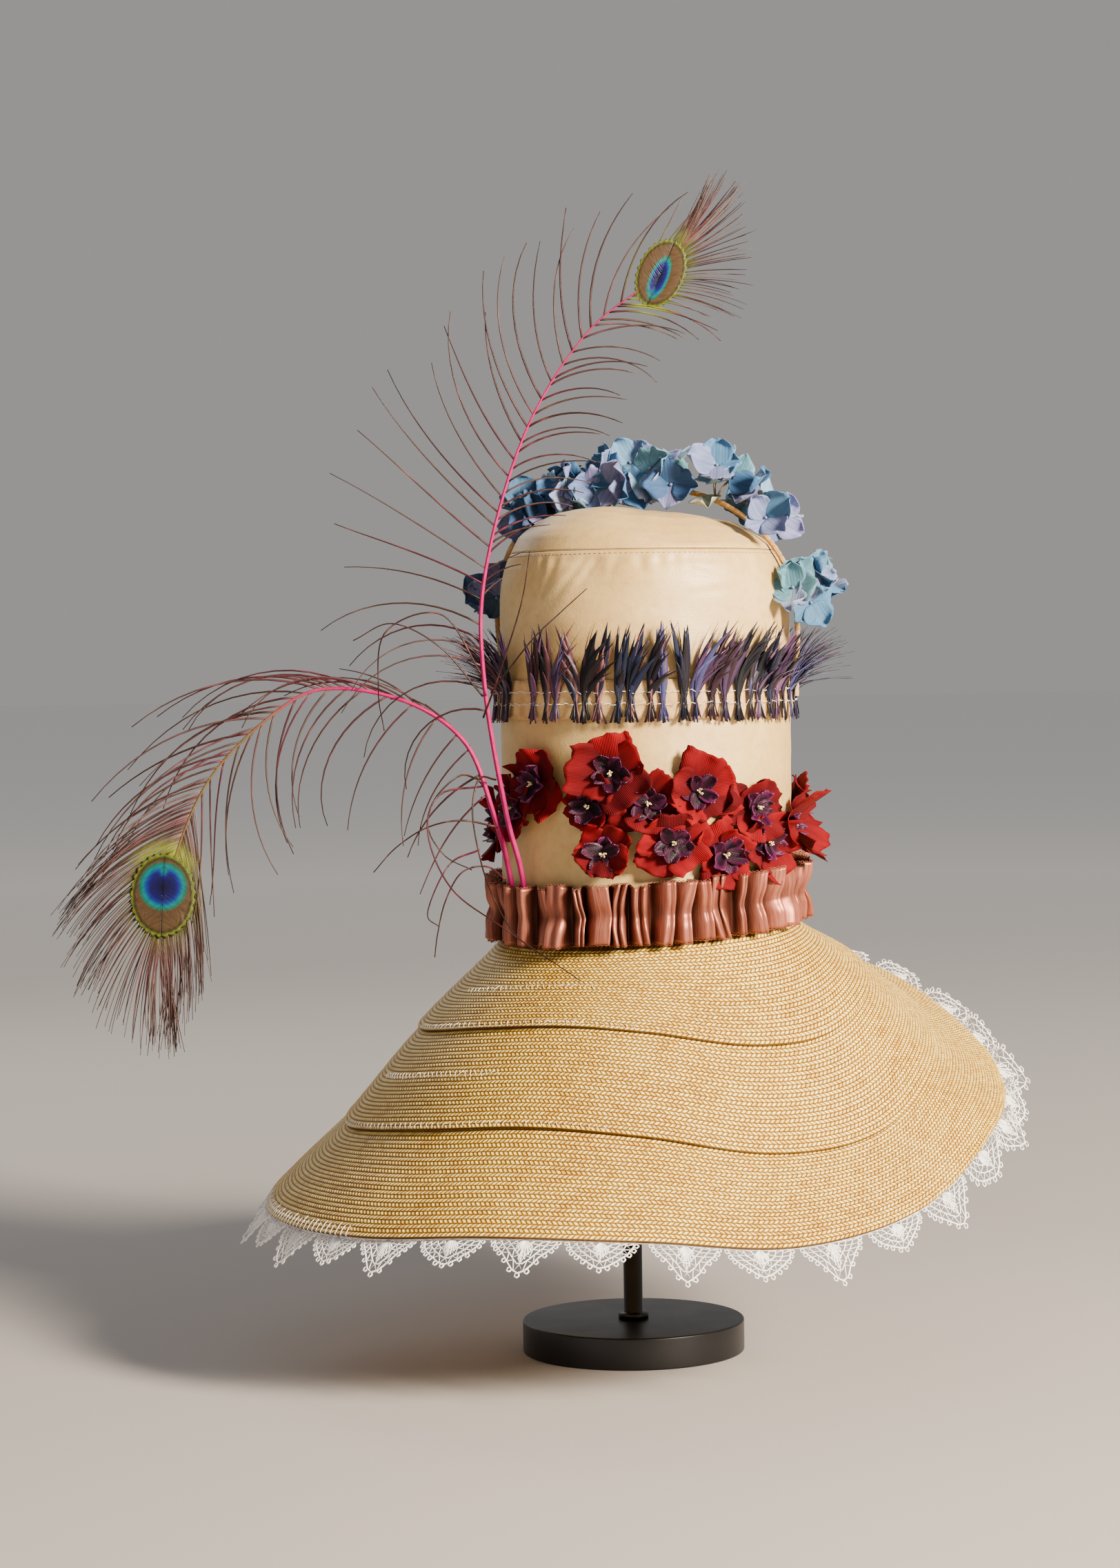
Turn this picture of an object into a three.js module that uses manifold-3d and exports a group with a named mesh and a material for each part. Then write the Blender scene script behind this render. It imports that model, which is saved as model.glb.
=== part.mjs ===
// A tall straw hat with a leather crown, trimmed with lace, ribbon, feathers and flowers,
// shown on a plain black display stand.
// Millimetres, +Z up, the front faces -Y, origin at the middle of the stand's underside.
// Azimuths are degrees counter-clockwise from +X, so 270 is the front.

import * as THREE from "three";
import { mergeVertices } from "three/addons/utils/BufferGeometryUtils.js";
import Module from "manifold-3d";

const wasm = await Module();
wasm.setup();

// Clearance between neighbouring pieces
const GAP = 0.3;

// Display stand
const BASE_RADIUS = 70;
const BASE_HEIGHT = 20;
const BASE_EDGE = 1;
const ROD_RADIUS = 6;
const COLLAR_RADIUS = 9.5;
const COLLAR_HEIGHT = 3.5;
const HEAD_RADIUS = 40;
const HEAD_HEIGHT = 6;
const HEAD_TOP = 524.7;

// Leather crown, a little off the stand's axis
const HAT_X = 12.5;
const LEATHER = 1.6;
const CROWN_RADIUS = 91;
const SEAM_RADIUS = 83.5;
const SEAM_HEIGHT = 503;
const TIP_SLUMP = 0.045;
const SLUMP_LIMITS = [-2.5, 4];
const CROWN_SEGMENTS = 32;
const BASE_SEGMENTS = 32;
const POST_SEGMENTS = 16;
const TIP_PROFILE = [
  { radius: 0, height: 530 },
  { radius: 32, height: 529 },
  { radius: 56, height: 525.5 },
  { radius: 74, height: 515 },
  { radius: SEAM_RADIUS, height: SEAM_HEIGHT + GAP },
];
const SIDE_PROFILE = [
  { radius: SEAM_RADIUS, height: SEAM_HEIGHT },
  { radius: 87.5, height: 494 },
  { radius: 90, height: 482 },
  { radius: CROWN_RADIUS, height: 462 },
  { radius: CROWN_RADIUS, height: 264 },
];
const DENTS = [
  { azimuth: 248, height: 494, across: 16, tall: 12, depth: 2.2 },
  { azimuth: 218, height: 480, across: 22, tall: 18, depth: 1.8 },
  { azimuth: 300, height: 458, across: 34, tall: 26, depth: 1.6 },
  { azimuth: 282, height: 517, across: 24, tall: 12, depth: 2.4 },
  { azimuth: 95, height: 470, across: 40, tall: 30, depth: 2 },
];

// Straw brim: rings of braid between the neck and the rim
const STRAW = 1.8;
const COLLAR_WALL = 1.6;
const COLLAR_RISE = 20;
const NECK_RADIUS = CROWN_RADIUS + GAP + COLLAR_WALL;
const NECK_HEIGHT = 266.5;
const NECK_LIFT_X = 5.5;
const NECK_LIFT_Y = 4.5;
const RIM_X = 2;
const RIM_RADIUS = 233;
const BRIM_SEGMENTS = 40;
const RIM = [
  { azimuth: 0, height: 168 },
  { azimuth: 22.5, height: 197 },
  { azimuth: 45, height: 228 },
  { azimuth: 67.5, height: 239 },
  { azimuth: 90, height: 229 },
  { azimuth: 112.5, height: 200 },
  { azimuth: 135, height: 152 },
  { azimuth: 157.5, height: 114 },
  { azimuth: 180, height: 99 },
  { azimuth: 202.5, height: 98 },
  { azimuth: 225, height: 101 },
  { azimuth: 247.5, height: 108 },
  { azimuth: 270, height: 107 },
  { azimuth: 292.5, height: 100 },
  { azimuth: 315, height: 113 },
  { azimuth: 337.5, height: 147 },
];
const MERIDIAN = [
  { along: 0, proud: 0 },
  { along: 0.33, proud: 3 },
  { along: 0.72, proud: -2.5 },
  { along: 1, proud: 0 },
];
const TUCK = 3;
const TIERS = [
  { name: "brim_tier_top", from: 0, to: 0.34, tuck: 0, rows: 3 },
  { name: "brim_tier_middle", from: 0.31, to: 0.68, tuck: TUCK, rows: 3 },
  { name: "brim_tier_bottom", from: 0.65, to: 1, tuck: TUCK, rows: 3 },
];

// Crocheted lace scallops under the rim
const LACE = 1;
const LACE_SEAT = 1;
const LACE_HEADING = 6;
const LACE_DROOP = 4;
const SCALLOPS = 36;
const SCALLOP_DEPTHS = [23, 19];
const SCALLOP_EDGE = [
  { across: 0, down: 0 },
  { across: 1, down: 0 },
  { across: 1, down: 0.22 },
  { across: 0.8, down: 0.62 },
  { across: 0.5, down: 1 },
  { across: 0.2, down: 0.62 },
  { across: 0, down: 0.22 },
];
const SCALLOP_HOLE = [
  { across: 0.26, down: 0.34 },
  { across: 0.74, down: 0.34 },
  { across: 0.64, down: 0.58 },
  { across: 0.36, down: 0.58 },
];

// Pleated satin ribbon round the foot of the crown
const RIBBON = 1;
const RIBBON_WIDTH = 36;
const RIBBON_FOOT = 3;
const PLEATS = 42;
const PLEAT_SWAY = 0.07;
const PLEAT_STEPS = [
  { phase: 0.1, crest: 0 },
  { phase: 0.3, crest: 1 },
  { phase: 0.7, crest: 1 },
  { phase: 0.9, crest: 0 },
];
const RIBBON_LEVELS = [
  { rise: 1, depth: 10.5 },
  { rise: 0, depth: 11 },
];

// Woven band with feather tufts
const BAND_WALL = 1.4;
const BAND_FOOT = 400;
const BAND_WIDTH = 24;
const BAND_RADIUS = CROWN_RADIUS + 2 * GAP + BAND_WALL;
const TUFTS = 36;
const TUFT_THICKNESS = 2;
const TUFT_LEAN = 2.5;
const TUFT_STATIONS = [
  { rise: 2, standoff: 0.9, half: 2.6 },
  { rise: 28, standoff: 3, half: 3.4 },
  { rise: 42, standoff: 12, half: 3 },
  { rise: 50, standoff: 30, half: 0 },
];
const TUFT_CLEAR = 5.5;

// Red cloth flowers with velvet hearts, on the crown
const PETALS = 5;
const CLOTH = 1;
const COROLLA_SEAT = GAP + CLOTH;
const HEART_RADIUS = 8.4;
const HEART_DOME = 5;
const NOTCH_SHARE = 0.5;
const FLOWER_CLEAR = 1.5;
const FLOWERS = [
  { azimuth: 211, height: 346, radius: 19, cup: 8, turn: 10 },
  { azimuth: 223, height: 361, radius: 20, cup: 8, turn: 40 },
  { azimuth: 247, height: 348, radius: 20, cup: 8, turn: 5 },
  { azimuth: 256, height: 368, radius: 23, cup: 10, turn: 28 },
  { azimuth: 269, height: 349, radius: 21, cup: 9, turn: 50 },
  { azimuth: 288, height: 356, radius: 22, cup: 10, turn: 15 },
  { azimuth: 312, height: 345, radius: 21, cup: 10, turn: 33 },
  { azimuth: 278, height: 325, radius: 21, cup: 10, turn: 20 },
  { azimuth: 298, height: 317, radius: 20, cup: 9, turn: 44 },
  { azimuth: 318, height: 323, radius: 19, cup: 10, turn: 12 },
  { azimuth: 253, height: 319, radius: 17, cup: 12, turn: 60 },
  { azimuth: 338, height: 332, radius: 23, cup: 20, turn: 24 },
  { azimuth: 10, height: 345, radius: 21, cup: 9, turn: 36 },
  { azimuth: 42, height: 330, radius: 21, cup: 9, turn: 8 },
  { azimuth: 78, height: 346, radius: 21, cup: 9, turn: 52 },
  { azimuth: 112, height: 331, radius: 21, cup: 9, turn: 18 },
  { azimuth: 148, height: 345, radius: 21, cup: 9, turn: 30 },
  { azimuth: 182, height: 333, radius: 20, cup: 8, turn: 48 },
];

// Peacock feathers tucked behind the ribbon
const QUILL_RADIUS = 2;
const QUILL_TIP = 0.7;
const QUILL_SIDES = 4;
const QUILL_STEPS = 18;
const QUILL_SEAT = NECK_RADIUS + 0.85 * QUILL_RADIUS;
const QUILL_LEAN = { out: 5.5, up: 40 };
const BARB_HALF = 1.3;
const BARB_THICKNESS = 1;
const BARB_STATIONS = [0, 0.4, 0.75, 1];
const EYE_HALF_WIDTH = 17;
const EYE_HALF_LENGTH = 25;
const EYE_THICKNESS = 1.4;
const EYE_SIDES = 10;
const UPRIGHT_FEATHER = {
  name: "peacock_feather_upright",
  seat: { pleat: 25, height: 266 },
  route: [
    { x: -75, y: -66, z: 344 },
    { x: -87, y: -68, z: 422 },
    { x: -86, y: -66, z: 488 },
    { x: -61, y: -64, z: 573 },
    { x: -22, y: -62, z: 635 },
    { x: 24, y: -60, z: 671 },
    { x: 44, y: -60, z: 696 },
  ],
  eye: { x: 24, y: -60, z: 671, lean: 50, share: 0.78 },
  barbs: [
    { along: 0.4, left: 92, leftAngle: 62, leftCurl: 50, right: 0, rightAngle: 0, rightCurl: 0 },
    { along: 0.46, left: 112, leftAngle: 72, leftCurl: 8, right: 0, rightAngle: 0, rightCurl: 0 },
    { along: 0.53, left: 108, leftAngle: 66, leftCurl: -6, right: 40, rightAngle: 62, rightCurl: 22 },
    { along: 0.6, left: 102, leftAngle: 62, leftCurl: -14, right: 62, rightAngle: 62, rightCurl: 24 },
    { along: 0.67, left: 98, leftAngle: 56, leftCurl: -16, right: 60, rightAngle: 50, rightCurl: 34 },
    { along: 0.73, left: 94, leftAngle: 52, leftCurl: -16, right: 62, rightAngle: 40, rightCurl: 40 },
    { along: 0.79, left: 90, leftAngle: 46, leftCurl: -12, right: 64, rightAngle: 34, rightCurl: 46 },
    { along: 0.85, left: 84, leftAngle: 42, leftCurl: -8, right: 66, rightAngle: 36, rightCurl: 44 },
    { along: 0.91, left: 66, leftAngle: 30, leftCurl: 6, right: 60, rightAngle: 36, rightCurl: 20 },
    { along: 0.96, left: 56, leftAngle: 20, leftCurl: 8, right: 52, rightAngle: 26, rightCurl: -6 },
    { along: 0.99, left: 40, leftAngle: 6, leftCurl: 10, right: 42, rightAngle: 12, rightCurl: -12 },
  ],
};
const ARCHED_FEATHER = {
  name: "peacock_feather_arched",
  seat: { pleat: 24, height: 266 },
  route: [
    { x: -83, y: -62, z: 344 },
    { x: -99, y: -62, z: 386 },
    { x: -132, y: -62, z: 411 },
    { x: -178, y: -62, z: 421 },
    { x: -211, y: -62, z: 410 },
    { x: -258, y: -62, z: 364 },
    { x: -286, y: -62, z: 295 },
    { x: -289, y: -62, z: 262 },
  ],
  eye: { x: -286, y: -62, z: 296, lean: 184, share: 1 },
  barbs: [
    { along: 0.36, left: 66, leftAngle: 95, leftCurl: 40, right: 0, rightAngle: 0, rightCurl: 0 },
    { along: 0.44, left: 84, leftAngle: 70, leftCurl: 45, right: 52, rightAngle: 18, rightCurl: 12 },
    { along: 0.51, left: 96, leftAngle: 66, leftCurl: 36, right: 84, rightAngle: 16, rightCurl: 14 },
    { along: 0.58, left: 100, leftAngle: 62, leftCurl: 26, right: 92, rightAngle: 20, rightCurl: 10 },
    { along: 0.64, left: 98, leftAngle: 52, leftCurl: 22, right: 94, rightAngle: 24, rightCurl: 4 },
    { along: 0.7, left: 92, leftAngle: 44, leftCurl: 14, right: 92, rightAngle: 28, rightCurl: 0 },
    { along: 0.76, left: 86, leftAngle: 38, leftCurl: 6, right: 88, rightAngle: 32, rightCurl: -4 },
    { along: 0.83, left: 82, leftAngle: 32, leftCurl: 0, right: 84, rightAngle: 34, rightCurl: -10 },
    { along: 0.9, left: 86, leftAngle: 24, leftCurl: -4, right: 84, rightAngle: 28, rightCurl: -12 },
    { along: 0.95, left: 80, leftAngle: 14, leftCurl: -4, right: 78, rightAngle: 16, rightCurl: -8 },
    { along: 0.99, left: 68, leftAngle: 4, leftCurl: 0, right: 66, rightAngle: 7, rightCurl: -4 },
  ],
};

// Raffia-wrapped stem arched over the crown, with hydrangea sprigs
const STEM_RADIUS = 1.8;
const STEM_SIDES = 6;
const STEM_STEPS = 22;
const STEM_SEAT = BAND_RADIUS + GAP + STEM_RADIUS;
const STEM_FOOT = 412;
const STEM_RIGHT = 352;
const STEM_LEFT = 163;
const STEM_ROUTE = [
  { x: 107, y: -16, z: 468 },
  { x: 94.5, y: -33, z: 502 },
  { x: 68, y: -16, z: 529 },
  { x: 31, y: 10, z: 543 },
  { x: -23, y: 26, z: 539 },
  { x: -66, y: 38, z: 521 },
  { x: -90, y: 34, z: 476 },
];
const CROWN_HEART = 470;
const SEPALS = 4;
const SEPAL_THICKNESS = 1;
const FLORET_TURN = 0.8;
const STALK_RADIUS = 1;
const STALK_SIDES = 4;
const SPRIGS = [
  { along: 0.17, reach: 20, size: 20, swing: -10, florets: 2, spread: 62, turn: 20 },
  { along: 0.295, reach: 17, size: 16, swing: 0, florets: 1, spread: 0, turn: 55 },
  { along: 0.38, reach: 20, size: 16, swing: 16, florets: 2, spread: 62, turn: 10 },
  { along: 0.465, reach: 20, size: 16, swing: -16, florets: 1, spread: 0, turn: 35 },
  { along: 0.54, reach: 20, size: 16, swing: 20, florets: 2, spread: 62, turn: 62 },
  { along: 0.62, reach: 15, size: 14, swing: -22, florets: 1, spread: 0, turn: 15 },
  { along: 0.69, reach: 15, size: 14, swing: 16, florets: 1, spread: 0, turn: 40 },
  { along: 0.83, reach: 13, size: 15, swing: 0, florets: 1, spread: 0, turn: 28 },
];

const FRONT = new THREE.Vector3(0, -1, 0);
const UP = new THREE.Vector3(0, 0, 1);
const radians = THREE.MathUtils.degToRad;
const degrees = THREE.MathUtils.radToDeg;

// Finishes

function finish(color, roughness, metalness = 0) {
  return new THREE.MeshStandardMaterial({ color, roughness, metalness });
}

// Solid helpers

// Signed volume of an indexed closed mesh, positive when its faces point out
function signedVolume(positions, index) {
  const [a, b, c] = [new THREE.Vector3(), new THREE.Vector3(), new THREE.Vector3()];
  let total = 0;
  for (let i = 0; i < index.length; i += 3) {
    a.fromArray(positions, 3 * index[i]);
    b.fromArray(positions, 3 * index[i + 1]);
    c.fromArray(positions, 3 * index[i + 2]);
    total += a.dot(b.cross(c)) / 6;
  }
  return total;
}

// Merge shared vertices, drop flat triangles and turn every face outwards
function closed(geometry) {
  const bare = geometry.clone();
  bare.deleteAttribute("normal");
  bare.deleteAttribute("uv");
  const merged = mergeVertices(bare, 1e-4);
  const source = merged.index.array;
  const kept = [];
  for (let i = 0; i < source.length; i += 3) {
    const [a, b, c] = [source[i], source[i + 1], source[i + 2]];
    if (a !== b && b !== c && c !== a) kept.push(a, b, c);
  }
  if (signedVolume(merged.attributes.position.array, kept) < 0) kept.reverse();
  merged.setIndex(kept);
  merged.computeVertexNormals();
  return merged;
}

function fromTriangles(points, triangles) {
  const geometry = new THREE.BufferGeometry();
  geometry.setAttribute("position", new THREE.Float32BufferAttribute(points.flatMap((p) => p.toArray()), 3));
  geometry.setIndex(triangles.flat());
  return closed(geometry);
}

// Join overlapping closed solids into one body
function fuse(geometries) {
  const solids = geometries.map(
    (geometry) =>
      new wasm.Manifold(
        new wasm.Mesh({
          numProp: 3,
          vertProperties: new Float32Array(geometry.attributes.position.array),
          triVerts: new Uint32Array(geometry.index.array),
        }),
      ),
  );
  const joined = solids.reduce((whole, solid) => whole.add(solid)).getMesh();
  const geometry = new THREE.BufferGeometry();
  geometry.setAttribute("position", new THREE.BufferAttribute(joined.vertProperties, 3));
  geometry.setIndex(new THREE.BufferAttribute(joined.triVerts, 1));
  return closed(geometry);
}

// Join a list of same-length rings of points into a closed skin; a cyclic list closes on itself
function skin(rings, cyclic) {
  const points = rings.flat();
  const sides = rings[0].length;
  const triangles = [];
  const spans = cyclic ? rings.length : rings.length - 1;
  for (let i = 0; i < spans; i += 1) {
    const here = i * sides;
    const next = ((i + 1) % rings.length) * sides;
    for (let j = 0; j < sides; j += 1) {
      const k = (j + 1) % sides;
      triangles.push([here + j, next + j, next + k], [here + j, next + k, here + k]);
    }
  }
  if (!cyclic) {
    const last = (rings.length - 1) * sides;
    for (let j = 1; j < sides - 1; j += 1) {
      triangles.push([0, j, j + 1], [last, last + j + 1, last + j]);
    }
  }
  return fromTriangles(points, triangles);
}

// A round tube that tapers along a curve
function taperedTube(curve, steps, sides, radiusAt) {
  const frames = curve.computeFrenetFrames(steps, false);
  const rings = [];
  for (let i = 0; i <= steps; i += 1) {
    const centre = curve.getPointAt(i / steps);
    const radius = radiusAt(i / steps);
    rings.push(
      Array.from({ length: sides }, (_, j) => {
        const angle = (2 * Math.PI * j) / sides;
        return centre
          .clone()
          .addScaledVector(frames.normals[i], radius * Math.cos(angle))
          .addScaledVector(frames.binormals[i], radius * Math.sin(angle));
      }),
    );
  }
  return skin(rings, false);
}

// A three-edged lock that ends in a point: flat face towards "face", ridge behind
function lock(spine, halves, across, face, thickness) {
  const rings = spine.map((centre, i) => {
    const half = Math.max(halves[i], 1e-6);
    const depth = halves[i] > 0 ? thickness : 1e-6;
    return [
      centre.clone().addScaledVector(across, half),
      centre.clone().addScaledVector(face, -depth),
      centre.clone().addScaledVector(across, -half),
    ];
  });
  const tip = spine.at(-1);
  rings[rings.length - 1] = [tip.clone(), tip.clone(), tip.clone()];
  return skin(rings, false);
}

// A plate with a star outline: a middle point and an outline, each with a front and a back level
function starPlate(middle, outline, place) {
  const points = [place(0, 0, middle.front), place(0, 0, middle.back)];
  for (const edge of outline) {
    points.push(place(edge.s, edge.t, edge.front), place(edge.s, edge.t, edge.back));
  }
  const triangles = [];
  outline.forEach((_, i) => {
    const here = 2 + 2 * i;
    const next = 2 + 2 * ((i + 1) % outline.length);
    triangles.push([0, here, next], [1, next + 1, here + 1]);
    triangles.push([here, here + 1, next + 1], [here, next + 1, next]);
  });
  return fromTriangles(points, triangles);
}

// Interpolation helpers

// Smooth value of a column round a closed table of evenly spaced azimuths
function around(table, column, azimuth) {
  const step = 360 / table.length;
  const place = (((azimuth % 360) + 360) % 360) / step;
  const i = Math.floor(place);
  const t = place - i;
  const [a, b, c, d] = [-1, 0, 1, 2].map((k) => table[(i + k + table.length) % table.length][column]);
  return 0.5 * (2 * b + (c - a) * t + (2 * a - 5 * b + 4 * c - d) * t * t + (3 * b - a - 3 * c + d) * t ** 3);
}

// Eased value of a column between the rows of an open table
function between(table, key, column, value) {
  const i = Math.max(1, table.findIndex((row) => row[key] >= value));
  const [a, b] = [table[i - 1], table[i]];
  const t = THREE.MathUtils.smoothstep(value, a[key], b[key]);
  return THREE.MathUtils.lerp(a[column], b[column], t);
}

function onHat(azimuth, radius, height) {
  const angle = radians(azimuth);
  return new THREE.Vector3(HAT_X + radius * Math.cos(angle), radius * Math.sin(angle), height);
}

function outwards(azimuth) {
  return new THREE.Vector3(Math.cos(radians(azimuth)), Math.sin(radians(azimuth)), 0);
}

function sideways(azimuth) {
  return new THREE.Vector3(-Math.sin(radians(azimuth)), Math.cos(radians(azimuth)), 0);
}

// Smallest turn between two azimuths
function turnBetween(a, b) {
  return Math.abs(((a - b + 540) % 360) - 180);
}

// Display stand

function revolve(profile, segments) {
  const points = profile.map(({ radius, height }) => new THREE.Vector2(radius, height));
  return closed(new THREE.LatheGeometry(points, segments).rotateX(Math.PI / 2));
}

function standBase() {
  return revolve(
    [
      { radius: 0, height: 0 },
      { radius: BASE_RADIUS - BASE_EDGE, height: 0 },
      { radius: BASE_RADIUS, height: BASE_EDGE },
      { radius: BASE_RADIUS, height: BASE_HEIGHT - BASE_EDGE },
      { radius: BASE_RADIUS - BASE_EDGE, height: BASE_HEIGHT },
      { radius: 0, height: BASE_HEIGHT },
    ],
    BASE_SEGMENTS,
  );
}

function standPost() {
  const foot = BASE_HEIGHT + GAP;
  return revolve(
    [
      { radius: 0, height: foot },
      { radius: COLLAR_RADIUS, height: foot },
      { radius: COLLAR_RADIUS, height: foot + COLLAR_HEIGHT },
      { radius: ROD_RADIUS, height: foot + COLLAR_HEIGHT },
      { radius: ROD_RADIUS, height: HEAD_TOP - HEAD_HEIGHT },
      { radius: HEAD_RADIUS - BASE_EDGE, height: HEAD_TOP - HEAD_HEIGHT },
      { radius: HEAD_RADIUS, height: HEAD_TOP - HEAD_HEIGHT / 2 },
      { radius: HEAD_RADIUS - BASE_EDGE, height: HEAD_TOP },
      { radius: 0, height: HEAD_TOP },
    ],
    POST_SEGMENTS,
  );
}

// Leather crown

// Inward pull of the dents at a point of the crown
function dentDepth(azimuth, height) {
  let depth = 0;
  for (const dent of DENTS) {
    const s = (radians(turnBetween(azimuth, dent.azimuth)) * CROWN_RADIUS) / dent.across;
    const t = (height - dent.height) / dent.tall;
    depth += dent.depth * Math.exp(-s * s - t * t);
  }
  return depth;
}

// Lift of the tilted ring where the crown meets the brim
function neckLift(azimuth) {
  return NECK_LIFT_X * Math.cos(radians(azimuth)) + NECK_LIFT_Y * Math.sin(radians(azimuth));
}

// Move every point of a revolved wall by a rule given its azimuth, radius and height
function reshape(geometry, rule) {
  const position = geometry.attributes.position;
  for (let i = 0; i < position.count; i += 1) {
    const [x, y, z] = [position.getX(i), position.getY(i), position.getZ(i)];
    const azimuth = degrees(Math.atan2(y, x));
    const { radius, height } = rule(azimuth, Math.hypot(x, y), z);
    const moved = onHat(azimuth, radius, height);
    position.setXYZ(i, moved.x, moved.y, moved.z);
  }
  return closed(geometry);
}

function crownTip() {
  const inside = TIP_PROFILE.map(({ radius, height }, i) => ({
    radius: Math.max(0, radius - (LEATHER * i) / (TIP_PROFILE.length - 1)),
    height: i === TIP_PROFILE.length - 1 ? height : height - LEATHER,
  }));
  const wall = revolve([...TIP_PROFILE, ...inside.reverse()], CROWN_SEGMENTS);
  return reshape(wall, (azimuth, radius, height) => {
    const slant = (TIP_SLUMP * radius * Math.cos(radians(azimuth)) * (height - SEAM_HEIGHT)) / 12;
    const slump = THREE.MathUtils.clamp(slant, ...SLUMP_LIMITS);
    const share = THREE.MathUtils.smoothstep(height, SEAM_HEIGHT + 1, SEAM_HEIGHT + 8);
    const sink = radius > 1 ? share * dentDepth(azimuth, height) : 0;
    return { radius, height: height - slump * share - sink };
  });
}

function crownSide() {
  const inside = SIDE_PROFILE.map(({ radius, height }) => ({ radius: radius - LEATHER, height }));
  const ring = [...SIDE_PROFILE, ...inside.reverse()];
  const foot = SIDE_PROFILE.at(-1).height;
  const wall = revolve([...ring, ring[0]], CROWN_SEGMENTS);
  return reshape(wall, (azimuth, radius, height) => {
    const share = THREE.MathUtils.smoothstep(SEAM_HEIGHT - height, 1, 8);
    const lift = height < foot + 1 ? neckLift(azimuth) : 0;
    return { radius: radius - share * dentDepth(azimuth, height), height: height + lift };
  });
}

// Straw brim

// A point of the brim's outer skin, from 0 at the neck to 1 at the rim
function brimPoint(azimuth, along) {
  const neck = onHat(azimuth, NECK_RADIUS, NECK_HEIGHT + neckLift(azimuth));
  const rim = outwards(azimuth).multiplyScalar(RIM_RADIUS);
  rim.x += RIM_X;
  rim.z = around(RIM, "height", azimuth);
  return neck.lerp(rim, along);
}

function brimNormal(azimuth, along) {
  const run = brimPoint(azimuth, along + 0.01).sub(brimPoint(azimuth, along - 0.01));
  const turn = brimPoint(azimuth + 1, along).sub(brimPoint(azimuth - 1, along));
  return run.cross(turn).normalize();
}

// The brim's skin pushed along its normal
function brimSkin(azimuth, along, offset) {
  const proud = between(MERIDIAN, "along", "proud", Math.min(along, 1)) + offset;
  return brimPoint(azimuth, along).addScaledVector(brimNormal(azimuth, along), proud);
}

function brimTier(tier) {
  const rings = [];
  for (let i = 0; i < BRIM_SEGMENTS; i += 1) {
    const azimuth = (360 * i) / BRIM_SEGMENTS;
    const outer = [];
    const inner = [];
    if (tier.tuck === 0) {
      const top = NECK_HEIGHT + neckLift(azimuth) + COLLAR_RISE;
      outer.push(onHat(azimuth, NECK_RADIUS, top));
      inner.push(onHat(azimuth, NECK_RADIUS - COLLAR_WALL, top));
      outer.push(onHat(azimuth, NECK_RADIUS, NECK_HEIGHT + neckLift(azimuth)));
      inner.push(onHat(azimuth, NECK_RADIUS - COLLAR_WALL, NECK_HEIGHT + neckLift(azimuth) - STRAW));
    }
    const first = tier.tuck === 0 ? 1 : 0;
    for (let row = first; row < tier.rows; row += 1) {
      const share = row / (tier.rows - 1);
      const along = THREE.MathUtils.lerp(tier.from, tier.to, share);
      const offset = -tier.tuck * (1 - share) ** 1.5;
      outer.push(brimSkin(azimuth, along, offset));
      inner.push(brimSkin(azimuth, along, offset - STRAW));
    }
    rings.push([...outer, ...inner.reverse()]);
  }
  return skin(rings, true);
}

// Lace edging

// A point of the lace sheet: "down" is measured from its heading, under the rim
function lacePoint(azimuth, down, side) {
  const past = down - LACE_HEADING;
  const edge = brimSkin(azimuth, 1, 0);
  const slope = edge.clone().sub(brimSkin(azimuth, 0.82, -STRAW / 2)).normalize();
  const normal = brimNormal(azimuth, 1);
  const sheet = edge.addScaledVector(slope, past);
  sheet.addScaledVector(normal, (side - 1) * (LACE / 2) - STRAW - LACE_SEAT);
  const droop = Math.max(0, past) / SCALLOP_DEPTHS[0];
  sheet.z -= LACE_DROOP * droop * droop;
  return sheet;
}

function laceEdging() {
  const flat = (row) => new THREE.Vector2(row.across, row.down);
  const outline = SCALLOP_EDGE.map(flat);
  const hole = SCALLOP_HOLE.map(flat);
  const cells = [...outline, ...hole];
  const shared = (cell) => cell.x === 0 || cell.x === 1;
  const faces = THREE.ShapeUtils.triangulateShape(outline, [hole]);
  const edges = faces.flatMap(([a, b, c]) => [[a, b], [b, c], [c, a]]);
  const isBorder = ([a, b]) => !edges.some(([c, d]) => c === b && d === a);
  const isJoin = ([a, b]) => cells[a].x === cells[b].x && shared(cells[a]);
  const border = edges.filter((edge) => isBorder(edge) && !isJoin(edge));
  const points = [];
  const triangles = [];
  for (let i = 0; i < SCALLOPS; i += 1) {
    const start = points.length;
    const depth = SCALLOP_DEPTHS[i % SCALLOP_DEPTHS.length];
    for (const cell of cells) {
      const azimuth = (360 * (i + cell.x)) / SCALLOPS;
      const down = cell.y * (shared(cell) ? SCALLOP_DEPTHS[1] : depth);
      points.push(lacePoint(azimuth, down, 1), lacePoint(azimuth, down, -1));
    }
    const front = (k) => start + 2 * k;
    const back = (k) => start + 2 * k + 1;
    for (const [a, b, c] of faces) {
      triangles.push([front(a), front(b), front(c)], [back(a), back(c), back(b)]);
    }
    for (const [a, b] of border) {
      triangles.push([front(b), front(a), back(a)], [front(b), back(a), back(b)]);
    }
  }
  return fromTriangles(points, triangles);
}

// Satin ruffle

// Azimuth of a place across one pleat; the pleats are a little uneven
function pleatAzimuth(pleat, phase) {
  return (360 * (pleat + phase + PLEAT_SWAY * Math.sin(2.4 * pleat))) / PLEATS;
}

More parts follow.
